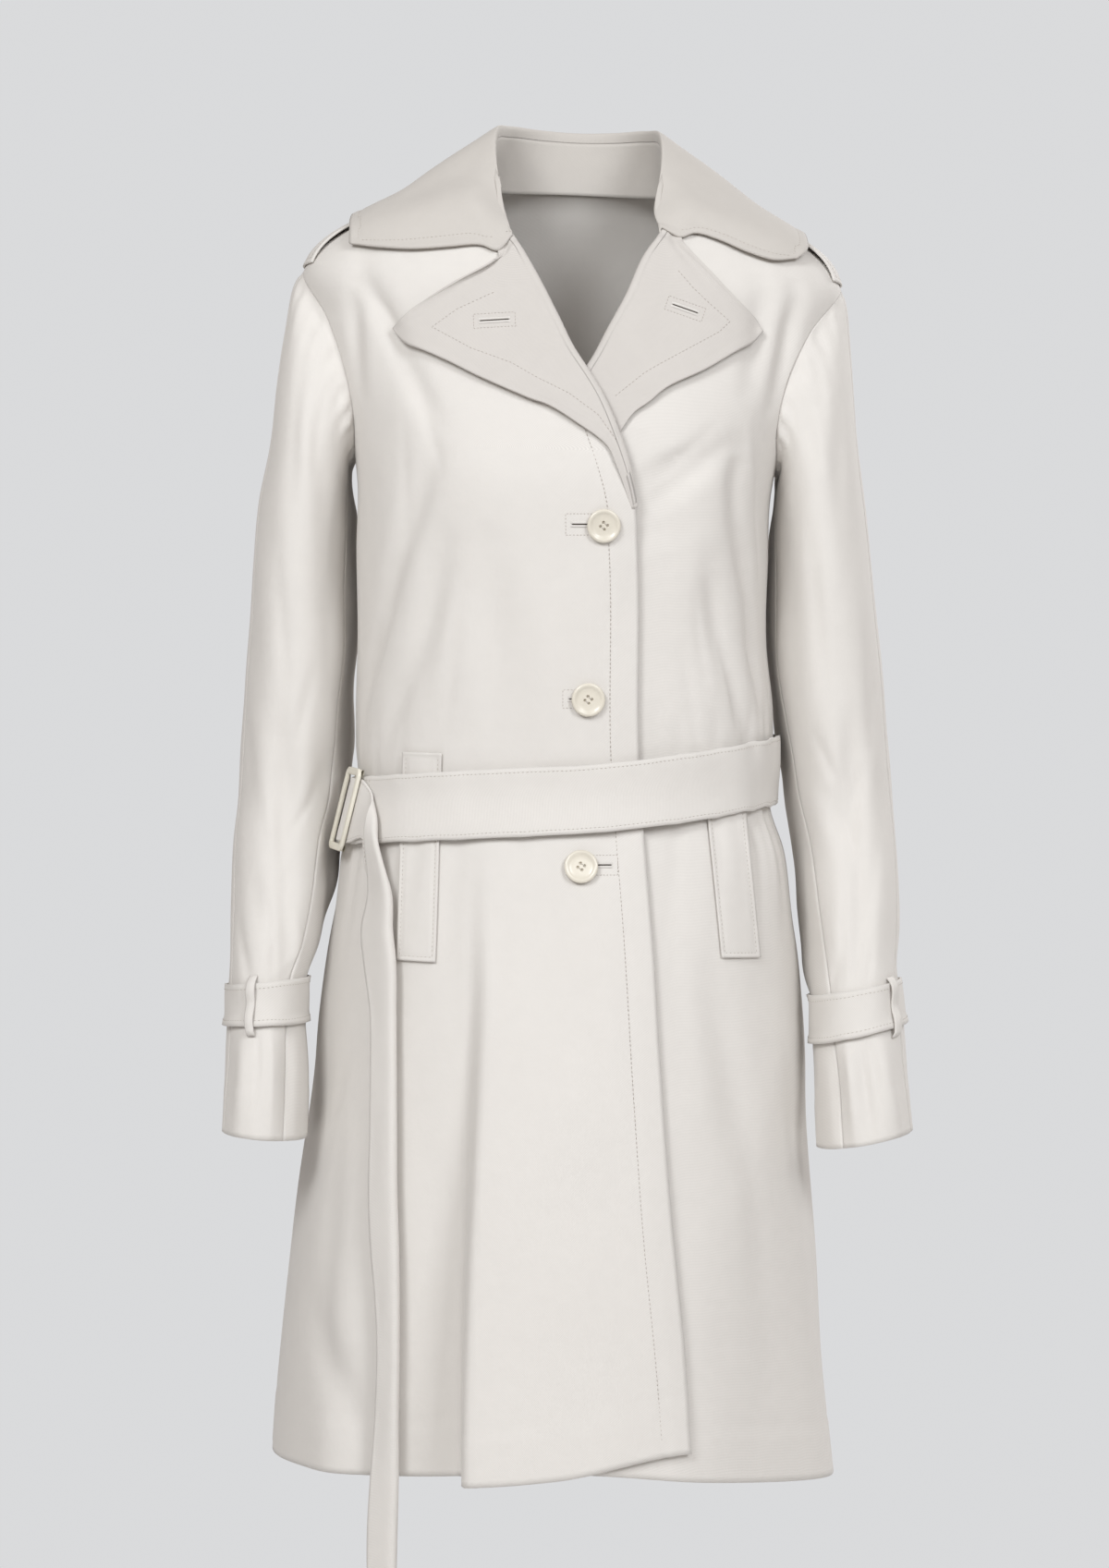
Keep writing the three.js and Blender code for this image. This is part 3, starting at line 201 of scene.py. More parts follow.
def angleAcross(x, height):
    # the angle whose ring point has this x, before folds
    share = np.clip((x - bodyRing(height, "centre")) / bodyRing(height, "half"), -0.999, 0.999)
    return np.degrees(np.arcsin(np.sign(share) * np.abs(share) ** (bodyRing(height, "square") / 2)))


creaseDegree = 2.55  # millimetres along the chest for a degree


def creaseLines(columns):
    # the same lines, with each x turned into millimetres round the chest
    start = angleAcross(columns["x1"], columns["z1"]) * creaseDegree
    end = angleAcross(columns["x2"], columns["z2"]) * creaseDegree
    return start, columns["z1"], end, columns["z2"], columns["width"], columns["depth"]


mainLines, fineLines = creaseLines(creases), creaseLines(fineCreases)

# the back's own soft drag lines
backDegree = 2
backLines = table("turn1 z1 turn2 z2 width depth",
    [150, -70, 132, -190, 12, 4], [210, -70, 230, -185, 12, 4], [166, -210, 170, -400, 13, 4],
    [196, -200, 188, -390, 12, 3.5], [132, -250, 150, -380, 10, 3.5],
    [230, -240, 212, -370, 10, 3.5], [118, -300, 128, -400, 8, 2.5], [244, -310, 234, -405, 8, 2.5],
    [180, -90, 180, -170, 16, -2], [126, -520, 131, -900, 9, 3], [150, -540, 152, -905, 8, -2.6],
    [171, -510, 176, -760, 8, 2.6], [204, -510, 200, -900, 9, 3], [228, -560, 230, -905, 8, -2.4],
    [250, -520, 247, -860, 8, 2.4])
for end in ("turn1", "turn2"):
    backLines[end] = backLines[end] * backDegree
# the gathers that run out of the belt
gathers = table("angle width depth",
    (-84, 2.6, 1.5), (-77, 2, -1.1), (-62, 2.4, 1.3), (-48, 2.2, 0.9), (-36, 3, 1), (-24, 2.6, 0.8),
    (-8, 3, 0.7), (10, 3, 0.6), (28, 2.4, 0.9), (41, 2.6, 1.2), (52, 2, -1), (58, 2.2, 1.6),
    (66, 2, -1.2), (71, 2.2, 1.9), (80, 2.4, 1.6), (88, 2.2, 1.2), (101, 3, 1.8), (112, 2.6, -1.2),
    (123, 3, 1.9), (137, 3.2, 1.7), (150, 2.6, -1.2), (161, 3, 1.8), (176, 3.4, 1.6), (191, 3, 1.9),
    (203, 2.8, -1.2), (214, 3, 1.8), (229, 3.2, 1.6), (243, 2.6, 1.8), (256, 2.8, 1.3))
beltLine = curvesThrough(table("angle height",
    [-90, -462.5], [-60, -461], [-30, -456], [0, -449], [30, -437], [60, -426], [90, -420],
    [135, -424], [180, -436], [225, -452], [270, -462.5], [300, -461]), "angle")
# the sides give way a little beside the forearms and the cuffs
armHollows = table("angle height spread reach depth",
    [-86, -505, 22, 48, 5], [86, -505, 22, 48, 4], [-74, -682, 16, 46, 7], [74, -690, 16, 46, 6])
# the skirt's folds start at the belt and grow downwards; the gathers fade above and below it
foldSizes = {"longest": 1.04, "growth": 1.15, "frontReach": 100, "main": 0.95, "fine": 0.7,
             "halfBelt": 22, "beltStart": -78,
             "above": 34, "below": 60, "clear": (18, 34), "gatherAbove": 0.9, "gatherBelow": 1.5,
             "gatherSlant": 0.03, "shoulder": (-120, -60), "shoulderCalm": 0.7}
rippleSizes = {"long": 0.35, "short": 0.22, "slanting": 0.2}


def wrapTurn(angle):
    # the same angle between -180 and 180
    return (angle + 180) % 360 - 180


def ripple(angle, height):
    # a soft unevenness of the cloth: a few long waves whose phases drift into each other
    a, h = np.radians(angle), height / 100
    wave = np.sin(7 * a + 1.3 * h + 0.8 * np.sin(2.1 * h + 3 * a)) * rippleSizes["long"]
    wave += np.sin(13 * a - 2.2 * h + 1.1 * np.sin(3 * h - 2 * a)) * rippleSizes["short"]
    return wave + np.sin(5 * a + 4.6 * h + 1.4 * np.sin(5 * a + h)) * rippleSizes["slanting"]


def foldPush(angle, height):
    # how far all folds, hollows, creases, gathers and the ripple push the cloth outwards
    size, belt = foldSizes, coatSizes["beltFoot"]
    turn = wrapTurn(angle)
    fall = np.clip((belt - height) / (belt - coatSizes["hemLevel"]), 0, size["longest"])
    push = np.zeros(np.broadcast(angle, height).shape)
    for top, hem, before, beforeSpread, after, afterSpread, edge in zip(*skirtFolds.values()):
        away = wrapTurn(turn - mix(top, hem, fall))
        passed = smooth(away, -edge, edge)
        ridge = after * passed * bell(np.maximum(away, 0), afterSpread)
        trough = before * (1 - passed) * bell(np.minimum(away, 0), beforeSpread)
        push += (ridge + trough) * fall ** size["growth"]
    for hollowAngle, hollowHeight, spread, reach, depth in zip(*armHollows.values()):
        push -= depth * bell(turn - hollowAngle, spread) * bell(height - hollowHeight, reach)
    inFront = np.abs(turn) < size["frontReach"]
    across = turn * creaseDegree
    frontPush = (size["main"] * troughs(mainLines, across, height)
                 + size["fine"] * troughs(fineLines, across, height))
    push += np.where(inFront, frontPush, 0)
    line = beltLine(np.where(turn < size["beltStart"], turn + 360, turn), "height")
    above = np.maximum(height - line - size["halfBelt"], 0)
    below = np.maximum(line - size["halfBelt"] - height, 0)
    near = np.where(height > line, bell(above, size["above"]), bell(below, size["below"]))
    near = near * smooth(np.abs(height - line), *size["clear"])
    stronger = np.where(height < line, size["gatherBelow"], size["gatherAbove"]) * near
    for gatherAngle, width, depth in zip(*gathers.values()):
        away = wrapTurn(turn - gatherAngle - size["gatherSlant"] * (height - line))
        push -= depth * bell(away, width) * stronger
    around = np.where(turn < 0, turn + 360, turn) * backDegree
    push += np.where(inFront, 0, troughs(backLines.values(), around, height))
    calm = smooth(height, *size["shoulder"]) * size["shoulderCalm"]
    return push + ripple(angle, height) * (1 - calm)


def coatPoint(angle, height):
    # x = half |sin a|^(2/n), y = -depth |cos a|^(2/n), z = height - drop cos a - lean x, and the
    # folds push the point outwards
    angle, height = np.broadcast_arrays(np.asarray(angle, float), np.asarray(height, float))
    half, square = bodyRing(height, "half"), bodyRing(height, "square")
    across, ahead = np.sin(np.radians(angle)), np.cos(np.radians(angle))
    depth = np.where(ahead > 0, bodyRing(height, "front"), bodyRing(height, "back"))
    x = half * np.sign(across) * np.abs(across) ** (2 / square)
    y = -depth * np.sign(ahead) * np.abs(ahead) ** (2 / square)
    outward = unit(np.stack([x / half ** 2, y / depth ** 2], -1))
    push = foldPush(angle, height)
    return np.stack([bodyRing(height, "centre") + x + outward[..., 0] * push,
                     y + outward[..., 1] * push,
                     height - bodyRing(height, "drop") * ahead - lean * x], -1)


halfStep = 0.5  # degrees and millimetres to each side when a slope is read


def coatNormal(angle, height):
    # the cross product of the slopes down and across
    across = coatPoint(angle + halfStep, height) - coatPoint(angle - halfStep, height)
    down = coatPoint(angle, height - halfStep) - coatPoint(angle, height + halfStep)
    return unit(np.cross(down, across))


def coatSkin(angle, height, out):
    # the coat's point moved out along its normal
    out = np.asarray(out, float)
    return coatPoint(angle, height) + coatNormal(angle, height) * out[..., None]


searchSizes = {"edge": 86, "front": 89, "halvings": 26, "rounds": 3}


def edgeAngle(x, height, widest=searchSizes["edge"]):
    # the angle in front where the coat's point has this x, found by halving
    low = np.full(np.broadcast(x, height).shape, -float(widest))
    high = -low
    for _ in range(searchSizes["halvings"]):
        middle = (low + high) / 2
        short = coatPoint(middle, height)[..., 0] < x
        low, high = np.where(short, middle, low), np.where(short, high, middle)
    return (low + high) / 2


def frontPlace(x, z):
    # the angle and height of the front's point at x and z
    height = z + lean * x
    for _ in range(searchSizes["rounds"]):
        angle = edgeAngle(x, height, searchSizes["front"])
        height = height + z - coatPoint(angle, height)[..., 2]
    return angle, height


def frontSkin(x, z, out):
    # the front's point at x and z, moved out along its normal
    angle, height = frontPlace(np.asarray(x, float), np.asarray(z, float))
    return coatSkin(angle, height, np.broadcast_to(np.asarray(out, float), angle.shape))


# the front edges of the lapping and the under panel, and the hems
lapEdge = curvesThrough(table("height x",
    [5, -69], [-15, -66], [-30, -59], [-46, -49], [-72, -34], [-104, -18], [-127, -7], [-146, 5],
    [-158, 12], [-191, 26], [-212, 33], [-233, 38.5], [-274, 41], [-420, 42.5], [-469, 45.5],
    [-535, 50.5], [-663, 58], [-751, 64], [-839, 72.5], [-926, 79]), "height")
underEdge = curvesThrough(table("height x",
    [5, 69], [-12, 68], [-25, 66], [-36, 62], [-55, 50], [-87, 36], [-113, 22], [-130, 13],
    [-138, 8], [-160, -2], [-190, -12], [-212, -18], [-236, -22], [-420, -24],
    [-926, -16]), "height")
lapHem = curvesThrough(table("angle height",
    [-180, -930], [-90, -937], [-60, -933], [-25, -927], [0, -917], [24, -900],
    [30, -899]), "angle")
underHem = curvesThrough(table("angle height",
    [-15, -908], [15, -915], [35, -922], [60, -930], [90, -935], [180, -930]), "angle")


underSizes = {"sink": 4.5, "atBreak": 3, "from": (-290, -235), "to": (-120, -60), "reach": (2, 66)}


def underSink(angle, height):
    # how far the under panel lies inside the coat's skin, most under the lap, less beyond its edge
    size = underSizes
    past = coatPoint(angle, height)[..., 0] - lapEdge(height, "x")
    broken = smooth(height, *size["from"]) * (1 - smooth(height, *size["to"]))
    return (size["sink"] + size["atBreak"] * broken) * (1 - smooth(past, *size["reach"]))


def makeMesh(name, points, quads, uvs=None, material=None):
    # millimetre points and faces of one size become a mesh in metres that rides on the root
    mesh = bpy.data.meshes.new(name)
    points = np.asarray(points, np.float32) * metre
    quads = np.asarray(quads, np.int32)
    mesh.vertices.add(len(points))
    mesh.vertices.foreach_set("co", points.ravel())
    mesh.loops.add(quads.size)
    mesh.loops.foreach_set("vertex_index", quads.ravel())
    mesh.polygons.add(len(quads))
    starts = np.arange(len(quads), dtype=np.int32) * quads.shape[1]
    mesh.polygons.foreach_set("loop_start", starts)
    mesh.polygons.foreach_set("use_smooth", np.full(len(quads), True))
    if uvs is not None:
        layer = mesh.uv_layers.new(name="cut")
        layer.data.foreach_set("uv", np.asarray(uvs, np.float32)[quads.ravel()].ravel())
    mesh.update()
    mesh.validate()
    mesh.materials.append(material)
    piece = bpy.data.objects.new(name, mesh)
    bpy.context.scene.collection.objects.link(piece)
    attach(piece, "root")
    return piece


def gridQuads(rows, columns, closedRound=False):
    # the four corners of each cell; closedRound joins the last column to the first
    wide = columns if closedRound else columns - 1
    r, c = np.meshgrid(np.arange(rows - 1), np.arange(wide), indexing="ij")
    here, after = r * columns, (c + 1) % columns
    below = here + columns
    return np.stack([here + c, below + c, below + after, here + after], -1).reshape(-1, 4)


def gridNormals(grid, flip=False):
    # the cross product of the slopes down and across the grid
    normals = unit(np.cross(np.gradient(grid, axis=0), np.gradient(grid, axis=1)))
    return -normals if flip else normals


def runLength(grid, axis):
    # the distance along the cloth from the grid's first row or column
    steps = np.linalg.norm(np.diff(grid, axis=axis), axis=-1)
    return np.concatenate([0 * np.take(steps, [0], axis), np.cumsum(steps, axis)], axis)


def clothPiece(name, grid, material, replaces,
               thickness=coatSizes["cloth"], flip=False, closedRound=False):
    # a sheet on its grid of outer points; the cut's own lengths, down and across, are its UV map
    rows, columns = grid.shape[:2]
    quads = gridQuads(rows, columns, closedRound)
    if flip:
        quads = quads[:, ::-1]
    across = runLength(grid, 1)
    across -= across[:, columns // 2, None]
    uvs = np.stack([across, runLength(grid, 0)], -1).reshape(-1, 2) * metre
    piece = makeMesh(name, grid.reshape(-1, 3), quads, uvs, material)
    wall = piece.modifiers.new("wall", "SOLIDIFY")
    wall.thickness = thickness * metre
    wall.offset = -1
    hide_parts(*replaces)


threadSizes = {"pitch": 3.1, "length": 2.5, "width": 0.62, "rise": 0.42, "sink": 0.1, "under": 0.2,
               "jitter": 0.15, "aim": 0.6}
stitches = {}  # each group's lines of thread
stitchRise = 0.05  # the thread's path over the cloth, on the fronts and lapels


def readAlong(values, along, at):
    # points or vectors read at distances along their path
    return np.stack([np.interp(at, along, values[:, k]) for k in range(3)], -1)


def stitchLine(group, path, normals, pitch=threadSizes["pitch"]):
    # slim six-pointed grains of thread, one each pitch along the path, lying on the cloth
    size = threadSizes
    steps = np.linalg.norm(np.diff(path, axis=0), axis=1)
    along = np.concatenate([[0], np.cumsum(steps)])
    count = max(int(along[-1] / pitch), 1)
    middle = (np.arange(count) + 0.5) * along[-1] / count
    middle = middle + random.uniform(-size["jitter"], size["jitter"], count)
    centre, normal = readAlong(path, along, middle), unit(readAlong(normals, along, middle))
    ahead = unit(readAlong(path, along, middle + size["aim"])
                 - readAlong(path, along, middle - size["aim"]))
    side = unit(np.cross(normal, ahead))
    normal = np.cross(ahead, side)
    half = size["length"] / 2 * pitch / size["pitch"]
    wide, sink = size["width"] / 2, size["sink"]
    corners = [-half * ahead - sink * normal, half * ahead - sink * normal, wide * side,
               size["rise"] * normal, -wide * side, -size["under"] * normal]
    points = np.stack([centre + corner for corner in corners], 1).reshape(-1, 3)
    faces = np.array([(0, 3, 2), (0, 4, 3), (0, 5, 4), (0, 2, 5),
                      (1, 2, 3), (1, 3, 4), (1, 4, 5), (1, 5, 2)])
    triangles = (np.arange(count)[:, None, None] * len(corners) + faces).reshape(-1, 3)
    stitches.setdefault(group, []).append((points, triangles))


def joined(parts):
    # several (points, faces) as one, the faces counted on
    offset, points, faces = 0, [], []
    for somePoints, someFaces in parts:
        points.append(somePoints)
        faces.append(someFaces + offset)
        offset += len(somePoints)
    return np.concatenate(points), np.concatenate(faces)


def startMaterial(name):
    # a material's shader, its texture coordinates and a function that adds a node: each input
    # is given another node's output, which is linked, or a value, which is set
    material = bpy.data.materials.new(name)
    material.use_nodes = True
    nodes, links = material.node_tree.nodes, material.node_tree.links

    def fill(node, inputs):
        for key, value in inputs.items():
            if isinstance(value, bpy.types.NodeSocket):
                links.new(value, node.inputs[key])
            else:
                node.inputs[key].default_value = value
        return node

    add = lambda kind, inputs: fill(nodes.new(f"ShaderNode{kind}"), inputs)
    return material, nodes["Principled BSDF"], add("TexCoord", {}).outputs, add, fill


def colourRamp(add, source, places, colours):
    # the source's value turned into a colour between two others
    ramp = add("ValToRGB", {"Fac": source})
    for element, place, colour in zip(ramp.color_ramp.elements, places, colours):
        element.position, element.color = place, (*colour, 1)
    return ramp.outputs["Color"]


def darker(colour, share):
    # each channel times a share
    return [channel * share for channel in colour]


clothLook = {"sheen": 0.22, "sheenRoughness": 0.45, "specular": 0.28, "mottle": 0.5, "ribs": 0.1,
             "twill": 1150, "twillTurn": 63, "roughness": (0.68, 0.82), "ramp": (0.3, 0.7),
             "noiseRoughness": 0.55,
             "waviness": {"Distortion": 0.6, "Detail": 1.5, "Detail Scale": 1.2},
             # scale and detail of each noise
             "noise": {"broad": (5, 3), "fine": (90, 4), "slub": (650, 2), "crumple": (34, 4)},
             # strength and depth in metres of each bump
             "relief": {"crumple": (0.16, 0.003), "fine": (0.1, 0.001), "slub": (0.1, 0.0003),
                        "rib": (0.16, 0.00025)}}


def clothMaterial(name, colour, shade):
    # gabardine: steep twill ribs on the cut's own lengths, with soft mottling and crumples
    look = clothLook
    material, shader, place, add, fill = startMaterial(name)

    def noise(kind, source="Object"):
        scale, detail = look["noise"][kind]
        return add("TexNoise", {"Scale": scale, "Detail": detail, "Vector": place[source],
                                "Roughness": look["noiseRoughness"]}).outputs["Fac"]

    turned = add("Mapping", {"Rotation": (0, 0, math.radians(look["twillTurn"])),
                             "Vector": place["UV"]}).outputs["Vector"]
    wave = add("TexWave", {"Scale": look["twill"] * math.pi / 10, "Vector": turned,
                           **look["waviness"]})
    wave.wave_profile = "SIN"
    sources = {"crumple": noise("crumple"), "fine": noise("fine"), "slub": noise("slub", "UV"),
               "rib": wave.outputs["Fac"]}
    mottled = add("Mix", {0: look["mottle"], 2: sources["fine"], 3: noise("broad")}).outputs[0]
    base = colourRamp(add, mottled, look["ramp"], (darker(colour, shade), colour))
    ribs = add("Mix", {})
    ribs.data_type, ribs.blend_type = "RGBA", "MULTIPLY"
    fill(ribs, {0: look["ribs"], 6: base, 7: sources["rib"]})
    low, high = look["roughness"]
    rough = add("MapRange", {"To Min": low, "To Max": high, "Value": sources["fine"]})
    relief = {}
    for kind, (strength, depth) in look["relief"].items():
        bump = add("Bump", {"Strength": strength, "Distance": depth, "Height": sources[kind],
                            **relief})
        relief = {"Normal": bump.outputs["Normal"]}
    fill(shader, {"Base Color": ribs.outputs[2], "Roughness": rough.outputs["Result"], **relief,
                  "Sheen Weight": look["sheen"], "Sheen Roughness": look["sheenRoughness"],
                  "Specular IOR Level": look["specular"]})
    return material


plainLook = {"coatRoughness": 0.15, "ramp": (0.35, 0.7), "roughnessSpread": 0.06, "depth": 0.0006}


def plainMaterial(name, colour, roughness, coat=0.0, noiseScale=60, spread=0.06, bumpStrength=0.05):
    # one colour with a slight unevenness of tone, roughness and relief
    look = plainLook
    material, shader, place, add, fill = startMaterial(name)
    noise = add("TexNoise", {"Scale": noiseScale, "Detail": 4,
                             "Vector": place["Object"]}).outputs["Fac"]
    base = colourRamp(add, noise, look["ramp"], (darker(colour, 1 - spread), colour))
    rough = add("MapRange", {"To Min": roughness - look["roughnessSpread"], "Value": noise,
                             "To Max": roughness + look["roughnessSpread"]}).outputs["Result"]
    bump = add("Bump", {"Strength": bumpStrength, "Distance": look["depth"], "Height": noise})
    fill(shader, {"Base Color": base, "Roughness": rough, "Normal": bump.outputs["Normal"],
                  "Coat Weight": coat, "Coat Roughness": look["coatRoughness"]})
    return material


gabardine = clothMaterial("pale_stone_gabardine", (0.77, 0.738, 0.70), 0.965)
# the collar: the body's gabardine in a darker colour, which is painted shade
collarPaintedShadeCloth = clothMaterial("collar_gabardine_painted_shade", (0.625, 0.59, 0.55), 0.96)
# the lapels: the body's gabardine in a darker colour, which is painted shade
lapelPaintedShadeCloth = clothMaterial("lapel_gabardine_painted_shade", (0.65, 0.615, 0.58), 0.96)
beltCloth = clothMaterial("belt_gabardine", (0.755, 0.723, 0.685), 0.965)
thread = plainMaterial("stone_thread", (0.53, 0.485, 0.435), 0.6, 0, 900, 0.1, 0.2)
ivory = plainMaterial("ivory_plastic", (0.76, 0.71, 0.61), 0.32, 0.3, 45, 0.08)
buckleIvory = plainMaterial("ivory_buckle", (0.83, 0.79, 0.68), 0.32, 0.3, 40, 0.08)
# a near-black sheet set into each buttonhole's slit: painted shadow
slitPaintedShadow = plainMaterial("slit_shadow", (0.07, 0.055, 0.045), 0.9, 0, 200, 0.3)
print("materials ready")


panelSizes = {"neckRows": 26, "armholeRows": 58, "chestRows": 74, "skirtRows": 96, "columns": 104,
              "armhole": {left: (22, 30), right: (28, 30)}}  # degrees in front and behind
edgeSizes = {"rise": 0.35, "groove": 0.45, "grooveWidth": 1.3, "before": 2, "after": 1,
             "front": 20, "hem": 38, "hemShare": 0.8}  # front and hem: from edge to stitching
armholeMiddle = (coatSizes["shoulderTip"] + coatSizes["armholeFoot"]) / 2
armholeHalf = (coatSizes["shoulderTip"] - coatSizes["armholeFoot"]) / 2


def sideTurn(height, reach):
    # half an ellipse in degrees, reach at the armhole's middle, seamTurn above and below it
    share = np.clip((height - armholeMiddle) / armholeHalf, -1, 1)
    return np.maximum(coatSizes["seamTurn"], reach * np.sqrt(1 - share * share))


neckLevel, shoulderTip, armholeFoot, beltFoot, hemLevel = (
    coatSizes[key] for key in ("neckLevel", "shoulderTip", "armholeFoot", "beltFoot", "hemLevel"))
roundArmhole = np.cos(np.linspace(0, np.pi, panelSizes["armholeRows"], endpoint=False))
panelHeights = np.concatenate([
    np.linspace(neckLevel, shoulderTip, panelSizes["neckRows"], endpoint=False),
    armholeMiddle + armholeHalf * roundArmhole,
    np.linspace(armholeFoot, beltFoot, panelSizes["chestRows"], endpoint=False),
    np.linspace(beltFoot, hemLevel, panelSizes["skirtRows"])])


def hemmed(nominal, hem):
    # the skirt's heights stretched so that the last one is the hem's
    share = (beltFoot - nominal) / (beltFoot - hemLevel)
    return np.where(nominal > beltFoot, nominal, mix(beltFoot, hem, share))


def freeEdge(distance, seam):
    # a turned edge: thicker from its fold to the stitching, with a small groove at the seam
    size = edgeSizes
    turnedIn = 1 - smooth(distance, seam - size["before"], seam + size["after"])
    return size["rise"] * turnedIn - size["groove"] * bell(distance - seam, size["grooveWidth"])


def bodyPanel(fromAngle, toAngle, hemAt, sink, freeSide):
    # the coat's skin between two angles, sunk, with a turned hem and at most one turned front edge
    share = np.linspace(0, 1, panelSizes["columns"])[None, :]
    nominal = panelHeights[:, None]
    angle = mix(fromAngle(panelHeights)[:, None], toAngle(panelHeights)[:, None], share)
    height = hemmed(nominal, hemAt(angle))
    out = -sink(angle, height)
    if freeSide is not None:
        grid = coatPoint(angle, height)
        fromSide = np.linalg.norm(grid - grid[:, freeSide, None], axis=-1)
        out = out + freeEdge(fromSide, edgeSizes["front"])
    turnedHem = freeEdge(height - hemAt(angle), edgeSizes["hem"]) * edgeSizes["hemShare"]
    return coatSkin(angle, height, out + np.where(nominal < beltFoot, turnedHem, 0))


noSink = lambda angle, height: 0 * angle
rightFront = bodyPanel(lambda h: -90 + sideTurn(h, panelSizes["armhole"][left][0]),
                       lambda h: edgeAngle(lapEdge(h, "x"), h),
                       lambda a: lapHem(a, "height"), noSink, -1)
clothPiece("front_right_cloth", rightFront, gabardine, ["front_right"])
leftFront = bodyPanel(lambda h: edgeAngle(underEdge(h, "x"), h),
                      lambda h: 90 - sideTurn(h, panelSizes["armhole"][right][0]),
                      lambda a: underHem(a, "height"), underSink, 0)
clothPiece("front_left_cloth", leftFront, gabardine, ["front_left"])
backPanel = bodyPanel(
    lambda h: 90 + sideTurn(h, panelSizes["armhole"][right][1]),
    lambda h: 270 - sideTurn(h, panelSizes["armhole"][left][1]),
    lambda a: np.where(a < 180, underHem(a, "height"), lapHem(a - 360, "height")), noSink, None)
clothPiece("back_cloth", backPanel, gabardine, ["back"])
print("body panels ready")


# Each sleeve: its outer and inner edge in the photo, its middle and depth along y, at each level
sleeveRows = {
    left: table("level outerX outerZ innerX innerZ y depth",
        [0, -206, -56, -166, -194, 2, 62], [1, -214, -70, -170, -201, 2, 63],
        [2, -219, -98, -171, -208, 2, 65], [3, -225, -140, -172, -220, 2, 67],
        [4, -230, -186, -172, -238, 2, 67], [5, -238, -228, -172, -262, 3, 66],
        [6, -243, -272, -172.5, -296, 4, 65], [7, -245.5, -324, -173, -338, 5, 64],
        [8, -249, -366, -175.5, -374, 5, 63], [9, -252, -406, -176, -410, 5, 62],
        [10, -254, -446, -177.5, -446, 3, 60], [11, -257, -478, -184.5, -476, -5, 58],
        [12, -256.5, -524, -187, -518, -20, 56], [13, -257, -556, -191, -550, -32, 53],
        [14, -256.5, -582, -199, -576, -42, 49], [15, -256.5, -598, -200, -594, -46, 47],
        [16, -257, -614, -200, -612, -50, 48], [17, -258, -642, -197.5, -644, -55, 52],
        [18, -260, -688, -199, -694, -62, 54]),
    right: table("level outerX outerZ innerX innerZ y depth",
        [0, 194, -68, 144, -204, 2, 62], [1, 199, -84, 147, -208, 2, 63],
        [2, 202, -110, 146.5, -215, 2, 65], [3, 205, -148, 146, -226, 2, 67],
        [4, 208.5, -190, 145.5, -242, 2, 67], [5, 214, -236, 145.5, -266, 3, 66],
        [6, 220, -284, 145.5, -302, 4, 65], [7, 225, -338, 146.5, -348, 5, 64],
        [8, 229, -382, 151, -388, 5, 63], [9, 232, -416, 155.5, -418, 5, 62],
        [10, 234.5, -448, 158, -448, 3, 60], [11, 237, -490, 165, -486, -6, 58],
        [12, 236.5, -536, 168, -532, -22, 56], [13, 234.5, -564, 170, -564, -34, 53],
        [14, 233.5, -578, 171, -590, -42, 49], [15, 235.5, -596, 171, -610, -46, 47],
        [16, 237, -612, 171, -628, -50, 48], [17, 239, -642, 172, -656, -55, 52],
        [18, 243, -687, 174, -701, -62, 54]),
}
sleeveRing = {side: curvesThrough(rows, "level") for side, rows in sleeveRows.items()}
levelDegree = 24  # degrees of turn that count as much as one level
foldColumns = "turn1 level1 turn2 level2 spread depth"
hiddenFolds = [  # the side that the photo doesn't show, the same on both sleeves
    (200, 9, 235, 10.5, 16, 5), (250, 8.4, 300, 9.6, 16, 4), (240, 16.2, 238, 18, 16, 5),
    (300, 16.2, 305, 18, 14, 4), (220, 4, 236, 7, 9, 1.8), (280, 3, 290, 6, 9, 1.6),
    (190, 11, 230, 12.4, 8, 1.8), (260, 10.6, 300, 11.8, 8, 1.6), (320, 6, 330, 9, 9, 1.3),
    (210, 13, 240, 13.9, 6, 1.4)]
sleeveFolds = {
    left: table(foldColumns, *hiddenFolds,
        (150, 3.2, 140, 7, 16, 6), (112, 3, 128, 6, 14, 3), (82, 8.2, 100, 11.5, 16, 6),
        (100, 11.5, 118, 13.6, 14, 5), (58, 11.6, 92, 13, 12, 3), (160, 9, 120, 10.4, 16, 4),
        (126, 16.2, 128, 18, 12, 5), (62, 16.4, 58, 18, 12, -3), (60, 1.5, 78, 4.5, 9, 1.6),
        (96, 1.4, 104, 4, 8, 1.4), (70, 6, 88, 8, 8, 1.3), (118, 7.5, 96, 9.4, 7, 1.5),
        (132, 9.6, 108, 10.8, 6, 1.4), (70, 10, 96, 11.6, 6, -1.2), (84, 12.2, 104, 13.9, 6, 1.6),
        (44, 12.6, 70, 13.9, 6, 1.5), (112, 12, 138, 13.6, 6, -1.3), (30, 8.5, 54, 9.8, 8, 1.2),
        (86, 16.1, 84, 17.4, 5, 1.2), (104, 16.1, 106, 17.8, 5, -1.1)),
    right: table(foldColumns, *hiddenFolds,
        (150, 3.2, 140, 7, 16, 5), (78, 7.8, 88, 11, 16, 6), (88, 11, 112, 10, 13, 5),
        (86, 11.2, 96, 14, 14, 5), (58, 2.5, 70, 5.5, 16, 3), (96, 16.2, 88, 18, 10, 5),
        (70, 16.2, 52, 18, 11, -3), (128, 16.2, 124, 18, 11, 4), (98, 1.4, 92, 4, 9, 1.6),
        (74, 1.2, 78, 3.4, 8, 1.3), (110, 5, 100, 7.6, 8, 1.4), (118, 8.6, 96, 9.9, 6, 1.6),
        (70, 9.4, 92, 10.6, 6, 1.5), (60, 10.8, 82, 12.2, 7, 1.4), (104, 11.4, 116, 13.6, 6, 1.5),
        (72, 12.4, 80, 13.9, 6, 1.4), (118, 13, 130, 14, 5, 1.2), (40, 7, 58, 9, 8, 1.2),
        (112, 16.1, 110, 17.8, 5, -1.2), (82, 16.1, 74, 17.6, 5, 1.2)),
}
